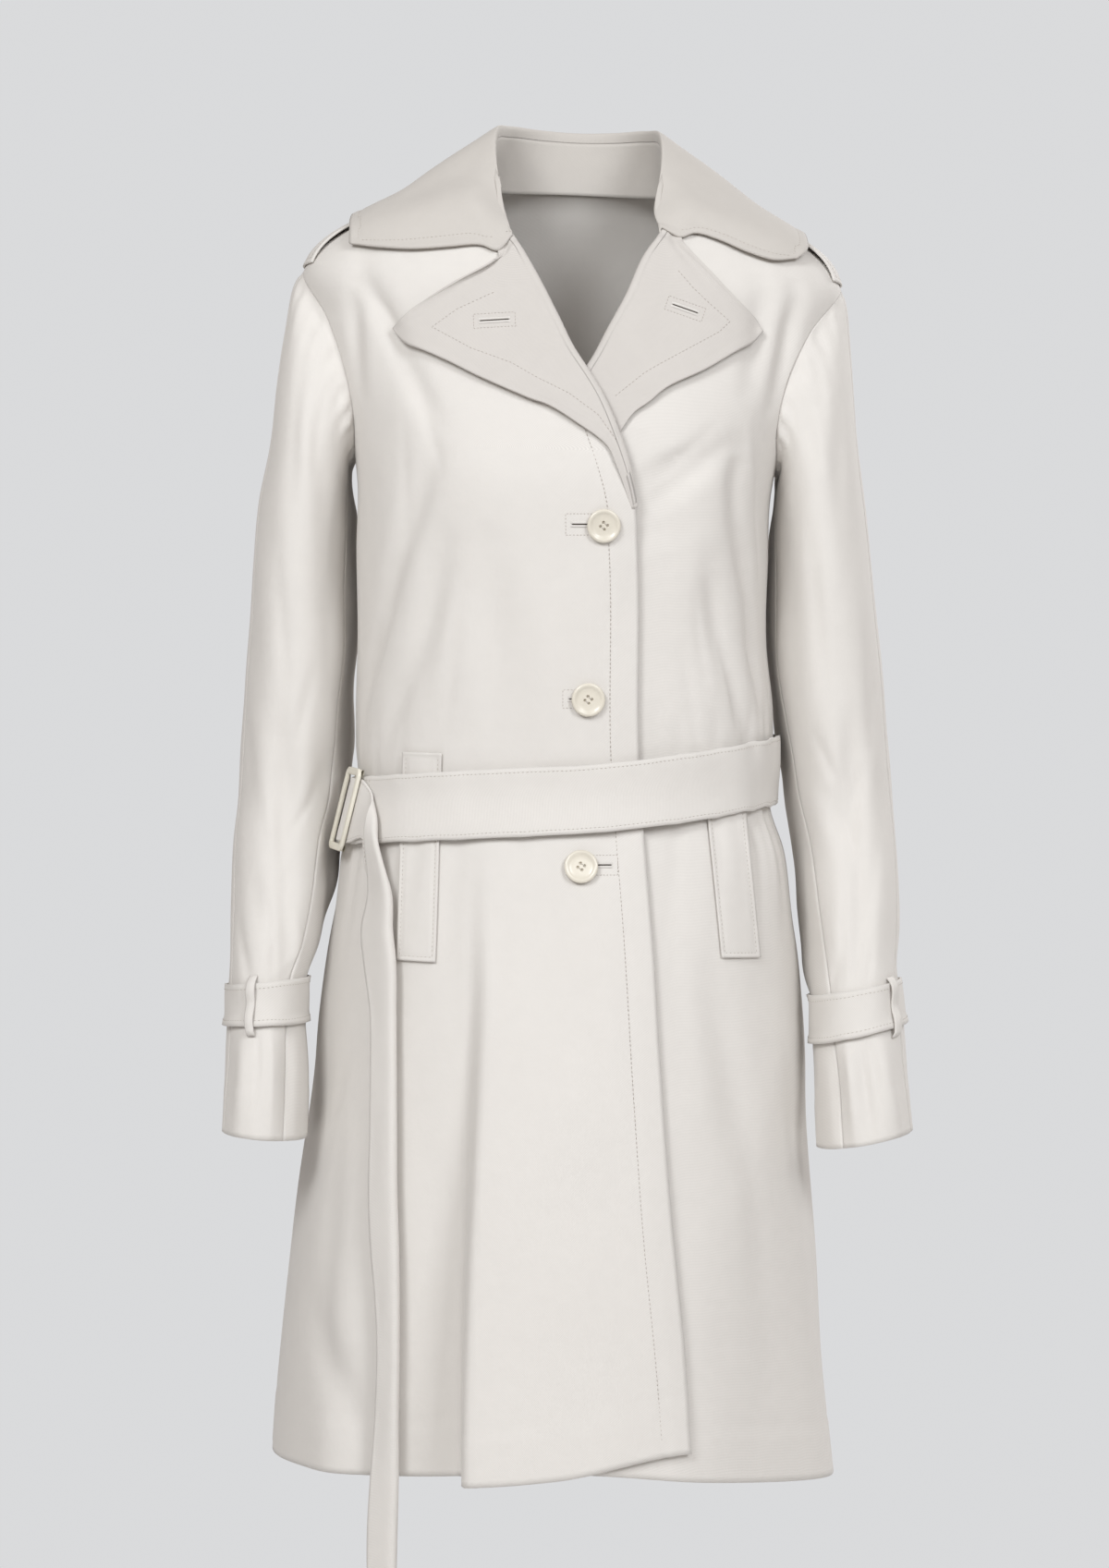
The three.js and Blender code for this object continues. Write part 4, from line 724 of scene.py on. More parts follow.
for folds in sleeveFolds.values():
    for end in ("level1", "level2"):
        folds[end] = folds[end] * levelDegree
# spare cloth behind the inner edge: its levels at the top and foot, and its depth
innerSlack = {left: (1.5, 13, 12), right: (3, 14.6, 9)}
slackSizes = {"turn": 206, "spread": 17, "start": 2, "end": 1.5, "waver": 0.12}
sleeveSizes = {"cuff": 18, "rows": 210, "front": 62, "back": 84, "inset": 0.991, "seamTurn": 0.2,
               "turning": (1.045, 1.02, 0.985), "turningSink": 2.2,  # the armhole's turned-in seam
               "carried": 2.2, "ease": 1.3, "seam": (0.5, 2.2), "hem": (17.2, 17.35),
               "hemRise": 0.35, "hemGroove": (0.3, 17.28, 0.04)}


def sleeveFoldPush(side, turn, level):
    # creases, two long waves, spare cloth behind the inner edge and small gathers at the armhole
    slack = slackSizes
    push = troughs(sleeveFolds[side].values(), turn % 360, level * levelDegree)
    a = np.radians(turn)
    push += 0.4 * np.sin(3 * a + 1.7 * level + np.sin(level)) + 0.25 * np.sin(7 * a - 2.6 * level)
    top, foot, depth = innerSlack[side]
    spare = depth * smooth(level, top, top + slack["start"])
    spare = spare * (1 - smooth(level, foot - slack["end"], foot))
    spare = spare * (1 + slack["waver"] * np.sin(2.3 * level))
    push += spare * bell(turn % 360 - slack["turn"], slack["spread"])
    gathered = 0.9 * np.sin(17 * a + 2 * np.sin(3 * a)) + 0.6 * np.sin(29 * a)
    return push + gathered * bell(level, sleeveSizes["ease"]) * smooth(level, 0.02, 0.5)


def armholeSpot(side, turn, scale):
    # the armhole's ellipse, in the body's own angle and height
    height = armholeMiddle + armholeHalf * scale * np.cos(np.radians(turn))
    across = np.sin(np.radians(turn)) * scale
    front, back = panelSizes["armhole"][side]
    return side * (90 - np.where(across > 0, front, back) * across), height


def ringPoint(side, turn, level):
    # an ellipse from the outer edge, at turn 0, round the front to the inner edge, at turn 180
    ring = sleeveRing[side]
    share = (1 + np.cos(np.radians(turn))) / 2
    return np.stack([mix(ring(level, "innerX"), ring(level, "outerX"), share),
                     ring(level, "y") - ring(level, "depth") * np.sin(np.radians(turn)),
                     mix(ring(level, "innerZ"), ring(level, "outerZ"), share)], -1)


def sleevePoint(side, turn, level):
    # the ring's point pushed out by the folds, and carried onto the armhole at the top
    turn, level = np.broadcast_arrays(np.asarray(turn, float), np.asarray(level, float))
    point = ringPoint(side, turn, level)
    middle = (ringPoint(side, 0 * turn, level) + ringPoint(side, 0 * turn + 180, level)) / 2
    point = point + unit(point - middle) * sleeveFoldPush(side, turn, level)[..., None]
    carried = bell(np.maximum(level, 0), sleeveSizes["carried"])[..., None]
    armhole = coatPoint(*armholeSpot(side, turn, sleeveSizes["inset"]))
    return point + (armhole - ringPoint(side, turn, 0 * level)) * carried


turnStep, levelStep = 4, 0.08  # to each side when the sleeve's slope is read


def sleeveSkin(side, turn, level, out):
    # the sleeve's point moved out along its normal
    turn, level, out = np.broadcast_arrays(*(np.asarray(v, float) for v in (turn, level, out)))
    around = sleevePoint(side, turn + turnStep, level) - sleevePoint(side, turn - turnStep, level)
    down = (sleevePoint(side, turn, level + levelStep)
            - sleevePoint(side, turn, np.maximum(level - levelStep, 0)))
    normal = unit(np.cross(down, around)) * -side
    return sleevePoint(side, turn, level) + normal * out[..., None]


# the turns at which the outer and the inner seam run
seamAt = curvesThrough(table("level outside inside",
    [0, 18, 180], [4, 22, 172], [8, 24, 162], [11, 26, 146], [14, 28, 132], [18, 28, 126]), "level")


def sleeveHalf(side, columns, behind):
    # the sleeve's skin between its two seams, with grooves at them and a turned hem at the cuff;
    # its first rows are turned in under the body at the armhole
    size = sleeveSizes
    level = np.linspace(0, size["cuff"], size["rows"])[:, None]
    outside, inside = seamAt(level, "outside"), seamAt(level, "inside")
    start, end = (inside, outside + 360) if behind else (outside, inside)
    across = np.linspace(0, 1, columns)[None, :]
    turn = mix(start + size["seamTurn"], end - size["seamTurn"], across)
    (groove, grooveWidth), (hemGroove, hemLine, hemWidth) = size["seam"], size["hemGroove"]
    out = -groove * bell(np.minimum(turn - start, end - turn), grooveWidth)
    out = out + size["hemRise"] * smooth(level, *size["hem"])
    out = out - hemGroove * bell(level - hemLine, hemWidth)
    turning = [coatSkin(*armholeSpot(side, turn[0], scale), np.full(columns, -size["turningSink"]))
               for scale in size["turning"]]
    return np.concatenate([turning, sleeveSkin(side, turn, level, out)])


wearerSides = ((left, "right"), (right, "left"))
sleeveCuts = {"front": ((0.19, 0.64), 0.057), "back": ((0.24, 0.64), 0.116)}
for side, name in wearerSides:
    for part, (flat, area) in sleeveCuts.items():
        grid = sleeveHalf(side, sleeveSizes[part], part == "back")
        clothPiece(f"sleeve_{name}_{part}_cloth", grid, gabardine, [f"sleeve_{name}_{part}"],
                   flip=side == right)
print("sleeves ready")

strapSizes = {"middle": 15, "reach": 0.94, "clear": 1.1, "flare": (0.9, 0.5), "thickness": 1.5,
              "columns": 120, "rows": 14, "edge": (0.3, 0.72, 0.8), "groove": (0.3, 0.05),
              "stitch": 0.78, "stitchRise": 0.1, "stitchSteps": 160,
              "loopTurn": {left: 76, right: 47}, "loopHalf": 5.4, "loopReach": (-1.2, 1.22),
              "loopRows": 60, "loopColumns": 8, "loopThickness": 1.2, "loopBow": 0.25}
loopRise = curvesThrough(table("level rise",
    [-1.2, 0.3], [-1.12, 1.6], [-1, 3.3], [0, 3.5], [1, 4.3], [1.14, 3.2], [1.22, 0.8]), "level")


def strapLift(offset):
    # the strap's outer face above the sleeve; it stands off a little more towards the hand
    flare, start = strapSizes["flare"]
    return strapSizes["clear"] + flare * smooth(offset, start, 1) + strapSizes["thickness"]


for side, name in wearerSides:
    offset = np.linspace(-1, 1, strapSizes["rows"])[:, None]
    turn = np.linspace(0, 360, strapSizes["columns"], endpoint=False)[None, :]
    (rise, riseStart, riseEnd), (groove, grooveWidth) = strapSizes["edge"], strapSizes["groove"]
    edge = rise * smooth(np.abs(offset), riseStart, riseEnd)
    edge = edge - groove * bell(np.abs(offset) - strapSizes["stitch"], grooveWidth)
    level = strapSizes["middle"] + strapSizes["reach"] * offset
    grid = sleeveSkin(side, turn, level, strapLift(offset) + edge)
    clothPiece(f"cuff_strap_{name}_cloth", grid, beltCloth, [f"cuff_strap_{name}"],
               flip=side == right,
               closedRound=True)
    for away in (-strapSizes["stitch"], strapSizes["stitch"]):
        around = np.linspace(0, 360, strapSizes["stitchSteps"])
        level = strapSizes["middle"] + strapSizes["reach"] * away
        path = sleeveSkin(side, around, level, strapLift(away) + strapSizes["stitchRise"])
        stitchLine("sleeves", path, path - sleeveSkin(side, around, level, 0))
    down = np.linspace(*strapSizes["loopReach"], strapSizes["loopRows"])[:, None]
    across = np.linspace(-1, 1, strapSizes["loopColumns"])[None, :]
    loopTurn = strapSizes["loopTurn"][side] + across * strapSizes["loopHalf"]
    bow = strapSizes["loopThickness"] + strapSizes["loopBow"] * np.cos(across * np.pi)
    loop = sleeveSkin(side, loopTurn, strapSizes["middle"] + down, loopRise(down, "rise") + bow)
    clothPiece(f"strap_loop_{name}_cloth", loop, beltCloth, [f"strap_loop_{name}"],
               thickness=strapSizes["loopThickness"],
               flip=side == right)
print("cuffs ready")

epauletteSizes = {"low": -59.5, "high": -9, "front": 17, "rear": -13, "rows": 60, "columns": 26,
                  "width": 44, "length": 70, "bow": 3, "clear": 0.4, "seam": 5, "turnedShare": 0.8,
                  "stitches": (3, 22), "endStitches": 4}
for side, name in wearerSides:
    size = epauletteSizes
    share = np.linspace(0, 1, size["rows"])[:, None]
    across = np.linspace(0, 1, size["columns"])[None, :]
    height, turn = mix(size["low"], size["high"], share), mix(size["front"], size["rear"], across)
    bow = size["bow"] * np.sin(np.pi * share) * (1 - 0.6 * share)
    edge = np.minimum(np.minimum(across, 1 - across) * size["width"], share * size["length"])
    edge = freeEdge(edge, size["seam"]) * size["turnedShare"]
    out = size["clear"] + bow + coatSizes["cloth"] + edge
    grid = coatSkin(side * (90 - turn), height, out)
    clothPiece(f"epaulette_{name}_cloth", grid, gabardine, [f"epaulette_{name}"],
               flip=side == right)
    normals = gridNormals(grid, side == right)
    for line in size["stitches"]:
        stitchLine("body", grid[3:, line], normals[3:, line])
    end = size["endStitches"]
    stitchLine("body", grid[end, 3:-3], normals[end, 3:-3])

# Each lapel: where its roll is, where its edge is in the photo, and how far it stands up
lapelRows = {
    left: table("row rollHeight edgeX edgeZ lift",
        [-0.7, -240, 37, -242, 0], [0, -226, 32, -228, 0.2], [1, -208, 26, -212, 0.3],
        [2, -191, 18, -196, 0.5], [3, -170, -4, -180, 0.8], [4, -158, -22, -169, 1],
        [5, -146, -38, -163, 1], [6, -127, -69, -148.5, 1], [7, -104, -93.5, -135, 1],
        [8, -88, -120, -121, 1], [9, -75, -133, -109, 1], [10, -64, -117, -94, 1],
        [11, -55, -90, -78.5, 1], [12, -50, -61, -62.5, 1], [13, -40, -58, -50, 1]),
    right: table("row rollHeight edgeX edgeZ lift",
        [0, -236, -15, -233, 0], [1, -212, 8, -214, 0], [2, -190, 26, -190, 0],
        [3, -160, 38, -172.5, 0.35], [4, -138, 49.5, -164.5, 0.7], [5, -130, 63, -154, 1],
        [6, -113, 90, -140, 1], [7, -87, 117, -122, 1], [8, -71, 132.5, -110, 1],
        [9, -56, 118, -94, 1], [10, -47, 98, -73, 1], [11, -41, 77, -50, 1],
        [12, -32, 73, -37, 1]),
}
lapelSizes = {"rows": 130, "rollColumns": 14, "columns": 50, "corner": {left: 9, right: 8},
              "cornerWidth": 1.2, "start": (-0.9, 1.4), "closing": (1.1, 0.5), "closed": 0.62,
              "flatRoll": 0.62, "thinRoll": 0.2, "shortRoll": 0.35, "skin": 2.5,
              "seam": 7, "turnedShare": 0.4, "drag": 0.45}
rollProfile = np.array([(3.1, -1.2, 0), (3.9, 0.5, 0), (3.6, 2.3, 0), (2, 3.7, 0), (-1, 4.2, 0)])
lapelStitches = {
    left: [(-60.9, -83.2), (-88.1, -95.7), (-106, -108.5), (-96, -114.3), (-77.1, -125.2),
           (-48.7, -136.1), (-31.1, -146.7), (-8, -158.6), (13, -174.5), (28, -196)],
    right: [(70.8, -66), (81.8, -79.2), (91.3, -88.5), (108.5, -103.7), (100.6, -111.6),
            (81.8, -122.6), (46.7, -142.8), (25.1, -160.4)],
}
# x, z, length, height and slant in degrees
lapelButtonholes = {left: (-61, -104.3, 23, 10.5, 3), right: (76, -95.2, 21, 10.5, -19)}


def lapelGrid(side):
    # the roll's half round by rollProfile, then straight to the edge with a shallow dip on the way;
    # edge points follow the curve through the rows, and straight lines close to the corner
    shape, size = lapelRows[side], lapelSizes
    read = curvesThrough(shape, "row")
    row = np.linspace(shape["row"][0], shape["row"][-1], size["rows"])
    rollHeight, lift = read(row, "rollHeight"), np.clip(read(row, "lift"), 0, 1)
    straight = np.stack([np.interp(row, shape["row"], shape[key])
                         for key in ("edgeX", "edgeZ")], -1)
    curved = np.stack([read(row, "edgeX"), read(row, "edgeZ")], -1)
    nearCorner = bell(row - size["corner"][side], size["cornerWidth"])[:, None]
    tip = mix(curved, straight, nearCorner)
    edge = lapEdge if side == left else underEdge
    roll = np.stack([edge(rollHeight, "x"), rollHeight], -1)
    roll[:, 1] -= lean * roll[:, 0]
    turnIn = edge(rollHeight - 2, "x") - edge(rollHeight + 2, "x")
    past = unit(np.stack([0 * turnIn + 4, turnIn], -1)) * -side
    ease = smooth(row, *size["start"])[:, None] if side == left else np.ones((len(row), 1))
    profile = through(rollProfile, np.linspace(0, 1, size["rollColumns"]))
    reach = mix(size["shortRoll"], 1, ease)[..., None]
    rolled = roll[:, None] + past[:, None] * profile[None, :, :1] * reach
    closing, closed = shape["row"][-1] - np.array(size["closing"])
    ease = ease * (1 - size["closed"] * smooth(row, closing, closed))[:, None]  # under the collar
    flatness = mix(size["flatRoll"], 1, lift)[:, None] * mix(size["thinRoll"], 1, ease)
    profileOut = profile[None, :, 1]
    rolledOut = np.where(profileOut > 0, profileOut * flatness, profileOut)
    share = np.linspace(0, 1, size["columns"] + 1)[1:] ** 1.05
    spread = roll[:, None] + (tip - roll)[:, None] * share[None, :, None]
    dip = 1.5 - 1.6 * np.sin(np.pi * share) + 1.4 * share ** 2
    toEdge = np.linalg.norm(tip - roll, axis=1)[:, None] * (1 - share[None, :])
    turnedEdge = freeEdge(toEdge, size["seam"]) * size["turnedShare"]
    spreadOut = size["skin"] + lift[:, None] * dip[None, :] + turnedEdge
    spreadOut = spreadOut * mix(size["thinRoll"], 1, ease)
    drag = np.sin(share * 9 + row[:, None] * 1.1) * np.sin(np.pi * share) * lift[:, None]
    spot = np.concatenate([rolled, spread], 1)
    out = np.concatenate([rolledOut, spreadOut + size["drag"] * drag], 1)
    angle, height = frontPlace(spot[..., 0], spot[..., 1])
    if side == right:
        out = out - underSink(angle, height)
    return coatSkin(angle, height, out)


def alongLines(corners, step=1.5):
    # points along straight runs between corners (x, z)
    corners = np.array(corners, float)
    lengths = np.concatenate([[0], np.cumsum(np.linalg.norm(np.diff(corners, axis=0), axis=1))])
    at = np.linspace(0, lengths[-1], int(lengths[-1] / step) + 2)
    return np.interp(at, lengths, corners[:, 0]), np.interp(at, lengths, corners[:, 1])


def onGrid(grid, normals, skip=0):
    # a surface read at x and z: the nearest grid point's own plane, met along y
    points, facing = grid[:, skip:].reshape(-1, 3), normals[:, skip:].reshape(-1, 3)

    def surface(x, z, out):
        x, z, out = np.broadcast_arrays(*(np.asarray(v, float) for v in (x, z, out)))
        shape, x, z, out = x.shape + (3,), x.ravel(), z.ravel(), out.ravel()
        away = (x[:, None] - points[:, 0]) ** 2 + (z[:, None] - points[:, 2]) ** 2
        near = np.argmin(away, axis=1)
        base, normal = points[near], facing[near]
        fall = normal[:, 0] * (x - base[:, 0]) + normal[:, 2] * (z - base[:, 2])
        found = np.stack([x, base[:, 1] - fall / normal[:, 1], z], -1) + normal * out[:, None]
        return found.reshape(shape), normal.reshape(shape)
    return surface


def onFront(x, z, out):
    # the same for the coat's own front
    angle, height = frontPlace(np.asarray(x, float), np.asarray(z, float))
    return coatSkin(angle, height, np.broadcast_to(out, angle.shape)), coatNormal(angle, height)


holeSizes = {"rows": 30, "lipColumns": 9, "slitColumns": 5, "gap": 0.4, "lip": 1.7, "foot": 0.12,
             "rise": 0.6, "fade": 0.07, "slit": (0.94, 0.62, 0.3), "margin": 3.5, "pitch": 2.4}


def boundButtonhole(name, surface, x0, z0, length, tall, degrees=0):
    # two half-round lips with a near-black sheet of painted shadow in the slit between them, inside
    # a stitched rectangle
    size = holeSizes
    cos, sin = math.cos(math.radians(degrees)), math.sin(math.radians(degrees))
    place = lambda u, v, out: surface(x0 + u * cos - v * sin, z0 + u * sin + v * cos, out)
    share = np.linspace(0, 1, size["rows"])[:, None]
    endless = smooth(np.minimum(share, 1 - share), 0, size["fade"])
    arch = np.linspace(0, np.pi, size["lipColumns"])[None, :]
    for lipSide, label in ((-1, "lower"), (1, "upper")):
        v = lipSide * (size["gap"] + size["lip"] * (1 - np.cos(arch)) / 2) + 0 * share
        out = size["foot"] + size["rise"] * np.sin(arch) * endless
        grid, _ = place((share - 0.5) * length + 0 * arch, v, out)
        quads = gridQuads(size["rows"], size["lipColumns"])[:, ::-lipSide]
        lip = makeMesh(f"{name}_{label}_lip", grid.reshape(-1, 3), quads, None, gabardine)
    across = np.linspace(-1, 1, size["slitColumns"])[None, :]
    long, wide, out = size["slit"]
    grid, _ = place((share - 0.5) * length * long + 0 * across, across * wide * endless, out)
    quads = gridQuads(size["rows"], size["slitColumns"])[:, ::-1]
    slit = makeMesh(f"{name}_slit", grid.reshape(-1, 3), quads, None, slitPaintedShadow)
    wide, high = length / 2 + size["margin"], tall / 2
    corners = [(-wide, high), (wide, high), (wide, -high), (-wide, -high), (-wide, high)]
    path, normals = place(*alongLines(corners, 1), stitchRise)
    stitchLine("buttonholes", path, normals, size["pitch"])


for side, name in wearerSides:
    grid = lapelGrid(side)
    clothPiece(f"lapel_{name}_cloth", grid, lapelPaintedShadeCloth, [f"lapel_{name}"],
               flip=side == right)
    surface = onGrid(grid, gridNormals(grid, side == right), lapelSizes["rollColumns"])
    path, facing = surface(*alongLines(lapelStitches[side]), stitchRise)
    stitchLine("lapels", path, facing)
    boundButtonhole(f"lapel_{name}_buttonhole", surface, *lapelButtonholes[side])
print("lapels ready")

collarSizes = {"bow": 4, "clear": 7.2, "lip": 8, "spans": 6, "rows": 150, "columns": 74,
               "lipColumns": 22, "lipShare": 0.4, "standColumns": 16, "standEnds": 24, "inner": 1.9,
               "seam": 7, "stitch": 8}
# the collar's ends lie on the fronts: x and z in the photo, and height over the cloth
collarEnds = {
    left: [(-48.5, -41, 3.2), (-58.5, -53, 3.4), (-72, -48.5, 3.6), (-95, -50, 4.2),
           (-120, -51, 4.6), (-145, -48.5, 5), (-166, -44.5, 5)],
    right: [(59.5, -35, 3.2), (73, -42, 3.4), (84, -38.5, 3.6), (101, -43.5, 4.2),
            (120, -52, 4.6), (140, -57.5, 5), (158, -55, 5)],
}
# and between them, from the front round to the back: crest x y z, edge x y z
collarStations = [
    (55, -58, -17, 167, -46, -40), (61, -34, 18, 166, -24, -31), (61, -4, 49, 162, 6, -24),
    (51, 32, 58, 146, 56, -32), (28, 55, 60, 86, 90, -44), (0, 62, 60, 0, 99, -46)]


def clearOfCoat(points, gap):
    # points pushed out along the coat's normals until they stand clear of it by the gap
    for _ in range(searchSizes["rounds"]):
        height = np.minimum(points[:, 2] + lean * points[:, 0], neckLevel - 0.6)
        ahead = points[:, 1] < 0
        depth = np.where(ahead, bodyRing(height, "front"), bodyRing(height, "back"))
        across = np.abs(points[:, 0] - bodyRing(height, "centre")) / bodyRing(height, "half")
        slant = across / np.maximum(np.abs(points[:, 1]) / depth, 1e-3)
        quarter = np.degrees(np.arctan(slant ** (bodyRing(height, "square") / 2)))
        angle = np.where(ahead, quarter, 180 - quarter) * np.where(points[:, 0] < 0, -1, 1)
        normal = coatNormal(angle, height)
        short = gap - ((points - coatPoint(angle, height)) * normal).sum(1)
        points = points + normal * np.maximum(short, 0)[:, None]
    return points


def collarStation(row, side):
    # a bowed line from the crest to the edge: c + (e - c) s + 4 bow s(1 - s) along its upward side
    leaned = lambda x, y, z: np.array([x, y, z - lean * x], float)
    crest, edge = leaned(side * row[0], row[1], row[2]), leaned(side * row[3], row[4], row[5])
    run = edge - crest
    upward = unit(np.cross(run, [-run[1], run[0], 0]))
    upward = upward * np.sign(upward[2])
    share = np.linspace(0, 1, collarSizes["spans"] + 1)[:, None]
    points = crest + run * share + upward * collarSizes["bow"] * 4 * share * (1 - share)
    return np.concatenate([points[:1], clearOfCoat(points[1:], collarSizes["clear"])])


rightHalf = [collarStation(row, left) for row in collarStations]
leftHalf = [collarStation(row, right) for row in collarStations]
collarLines = np.stack([frontSkin(*np.array(collarEnds[left]).T), *rightHalf[:-1],
                        *leftHalf[::-1], frontSkin(*np.array(collarEnds[right]).T)])
lastStation = len(collarLines) - 1
# the stand's foot climbs the front edges up to a station, and then goes round the neck opening
neckStation = 2.25
neckClimb = curvesThrough(table("station height",
    [0, -38], [1, -20], [2, 1], [neckStation, neckLevel]), "station")
neckRound = curvesThrough(table("station turn",
    [neckStation, 80], [3, 95], [4, 126], [5, 155], [6, 180]), "station")


def collarFoot(station):
    # the place on the coat that the collar's stand rises from
    side = np.where(station < lastStation / 2, left, right)
    near = np.where(side == left, station, lastStation - station)
    height = neckClimb(near, "height")
    edge = np.where(side == left, lapEdge(height, "x"), underEdge(height, "x"))
    climbing = coatPoint(edgeAngle(edge, height), height)
    opening = coatPoint(side * neckRound(near, "turn"), 0 * near + neckLevel)
    return np.where((near >= neckStation)[:, None], opening, climbing)


def collarGrids():
    # the fall: a lip inside the crest, over it and along the stations' lines to the edge;
    # the stand: straight lines from the foot to the lip, short of the collar's two ends
    size = collarSizes
    share = np.linspace(0, 1, size["rows"])
    lines = [through(collarLines[:, i], share) for i in range(size["spans"] + 1)]
    crest, foot = lines[0], collarFoot(share * lastStation)
    rise = crest - foot
    tall = np.linalg.norm(rise, axis=1, keepdims=True)
    rise = rise / tall
    outward = lines[1] - crest
    outward = unit(outward - rise * (outward * rise).sum(1, keepdims=True))
    lip = np.minimum(size["lip"], 0.5 * tall)
    inside = crest - size["inner"] * outward
    control = np.stack([inside - lip * rise, inside - 0.45 * lip * rise,
                        crest - 1.4 * outward - 0.16 * lip * rise,
                        crest - 0.1 * outward + 0.2 * rise, crest + 0.9 * outward, *lines[1:]])
    across = np.concatenate([
        np.linspace(0, size["lipShare"], size["lipColumns"], endpoint=False),
        np.linspace(size["lipShare"], 1, size["columns"] - size["lipColumns"])])
    fall = np.swapaxes(through(control, across), 0, 1)
    top = inside - (lip + 0.2) * rise
    bottom = foot - 2.5 * rise - 2.3 * outward
    upwards = np.linspace(0, 1, size["standColumns"])[None, :, None]
    stand = bottom[:, None] + (top - bottom)[:, None] * upwards
    return fall, stand[size["standEnds"]:-size["standEnds"]]


fallGrid, standGrid = collarGrids()
fallNormals = gridNormals(fallGrid)
toEdge, toStart, toEnd = (np.linalg.norm(fallGrid - line, axis=-1)
                          for line in (fallGrid[:, -1:], fallGrid[:1], fallGrid[-1:]))
turned = freeEdge(np.minimum(toEdge, np.minimum(toStart, toEnd)), collarSizes["seam"])
wrinkle = 0.35 * np.sin(np.linspace(0, 40, len(fallGrid)))[:, None] * bell(toEdge - 40, 30)
fallGrid = fallGrid + fallNormals * (turned + wrinkle)[..., None]
clothPiece("collar_fall_cloth", fallGrid, collarPaintedShadeCloth, ["collar_fall"])
clothPiece("collar_stand_cloth", standGrid, collarPaintedShadeCloth, ["collar_stand"])
column = np.argmin(np.abs(toEdge - collarSizes["stitch"]), axis=1)
rows = np.arange(4, len(fallGrid) - 4)
stitchLine("collar", fallGrid[rows, column[rows]], fallNormals[rows, column[rows]])
for end in (3, len(fallGrid) - 4):
    inside = np.arange(30, column[end])
    stitchLine("collar", fallGrid[end, inside], fallNormals[end, inside])
print("collar ready")

beltSizes = {"width": 50, "thickness": 2, "clear": 3.6, "start": -70.6, "end": 284.2, "stitch": 3.2,
             "rows": 560, "columns": 22, "sag": 0.6, "rise": 0.3, "groove": (0.35, 1.1),
             "endSeam": 7.4, "tailThickness": 1.8, "tailWidth": 47,  # endSeam in degrees
             "tailRows": 330, "tailColumns": 44, "hangRow": 64, "tailStitches": (41, 2),
             "waver": (0.35, 60), "waverPlace": (0.96, 0.06)}
buckleSizes = {"height": 62, "width": 34, "bar": 5.5, "depth": 3, "foot": 0.4, "angle": -71.5,
               "corner": 3.2, "cornerSteps": 9, "lift": 1.7, "section": 20, "square": 0.6,
               "middle": (29, 16), "lower": (15, 12)}


def beltSkin(angle, across, out):
    # the coat's skin at a share of the belt's width down from its middle line
    angle = np.asarray(angle, float)
    height = beltLine(angle, "height") - across * beltSizes["width"]
    return coatSkin(angle, height, out + 0 * angle)


beltAngles = np.linspace(beltSizes["start"], beltSizes["end"], beltSizes["rows"])[:, None]
beltAcross = np.linspace(-0.5, 0.5, beltSizes["columns"])[None, :]
fromEdge = (0.5 - np.abs(beltAcross)) * beltSizes["width"]
beltTurn = np.radians(beltAngles)
sag = 0.5 * np.sin(9 * beltTurn + 2 * beltAcross) + 0.35 * np.sin(23 * beltTurn - 3 * beltAcross)
groove, grooveWidth = beltSizes["groove"]
beltOut = (beltSizes["clear"] + beltSizes["thickness"] + sag * beltSizes["sag"]
           + beltSizes["rise"] * smooth(fromEdge, 0, 2)
           - groove * bell(fromEdge - beltSizes["stitch"], grooveWidth))
beltGrid = beltSkin(beltAngles, beltAcross, beltOut)
clothPiece("belt_cloth", beltGrid, beltCloth, ["belt"],
           thickness=beltSizes["thickness"], flip=True)
beltNormals = gridNormals(beltGrid, True)
for away in (beltSizes["stitch"], beltSizes["width"] - beltSizes["stitch"]):
    place = away / beltSizes["width"] * (beltSizes["columns"] - 1)
    low = int(place)
    path = mix(beltGrid[:, low], beltGrid[:, low + 1], place - low)
    stitchLine("belt", path, beltNormals[:, low])
beltDegrees = beltSizes["end"] - beltSizes["start"]
endRow = 4 + int(beltSizes["endSeam"] / beltDegrees * (beltSizes["rows"] - 1))
stitchLine("belt", beltGrid[endRow, 1:-1], beltNormals[endRow, 1:-1])

# the buckle's own axes on the belt's outer face: along the belt, up, out
onBelt = lambda angle, across: beltSkin(angle, across, beltSizes["clear"] + beltSizes["thickness"])
buckleTop, buckleFoot = (onBelt(buckleSizes["angle"], across) for across in (-0.5, 0.5))
buckleMiddle, buckleUp = (buckleTop + buckleFoot) / 2, unit(buckleTop - buckleFoot)
buckleAlong = onBelt(buckleSizes["angle"] + 4, 0) - onBelt(buckleSizes["angle"] - 4, 0)
buckleOut = unit(np.cross(buckleAlong, buckleUp))
buckleAxes = np.stack([np.cross(buckleUp, buckleOut), buckleUp, buckleOut])


def onBuckle(points):
    # from the buckle's own axes to the frame's
    return buckleMiddle + np.asarray(points, float) @ buckleAxes


def roundedBar(path, halfWide, halfDeep, closed=False):
    # a section |cos|^square by |sin|^square carried along a path in the buckle's plane
    turn = np.linspace(0, 2 * np.pi, buckleSizes["section"], endpoint=False)
    u = np.sign(np.cos(turn)) * np.abs(np.cos(turn)) ** buckleSizes["square"]
    v = np.sign(np.sin(turn)) * np.abs(np.sin(turn)) ** buckleSizes["square"]
    steps = np.roll(path, -1, 0) - np.roll(path, 1, 0) if closed else np.gradient(path, axis=0)
    ahead = unit(steps)
    side = np.stack([ahead[:, 1], -ahead[:, 0], 0 * ahead[:, 0]], -1)
    rings = path[:, None] + side[:, None] * (u * halfWide)[None, :, None]
    rings[..., 2] += (v * halfDeep)[None, :]
    rows, columns = rings.shape[:2]
    quads = gridQuads(rows + (1 if closed else 0), columns, True) % (rows * columns)
    return rings.reshape(-1, 3), quads


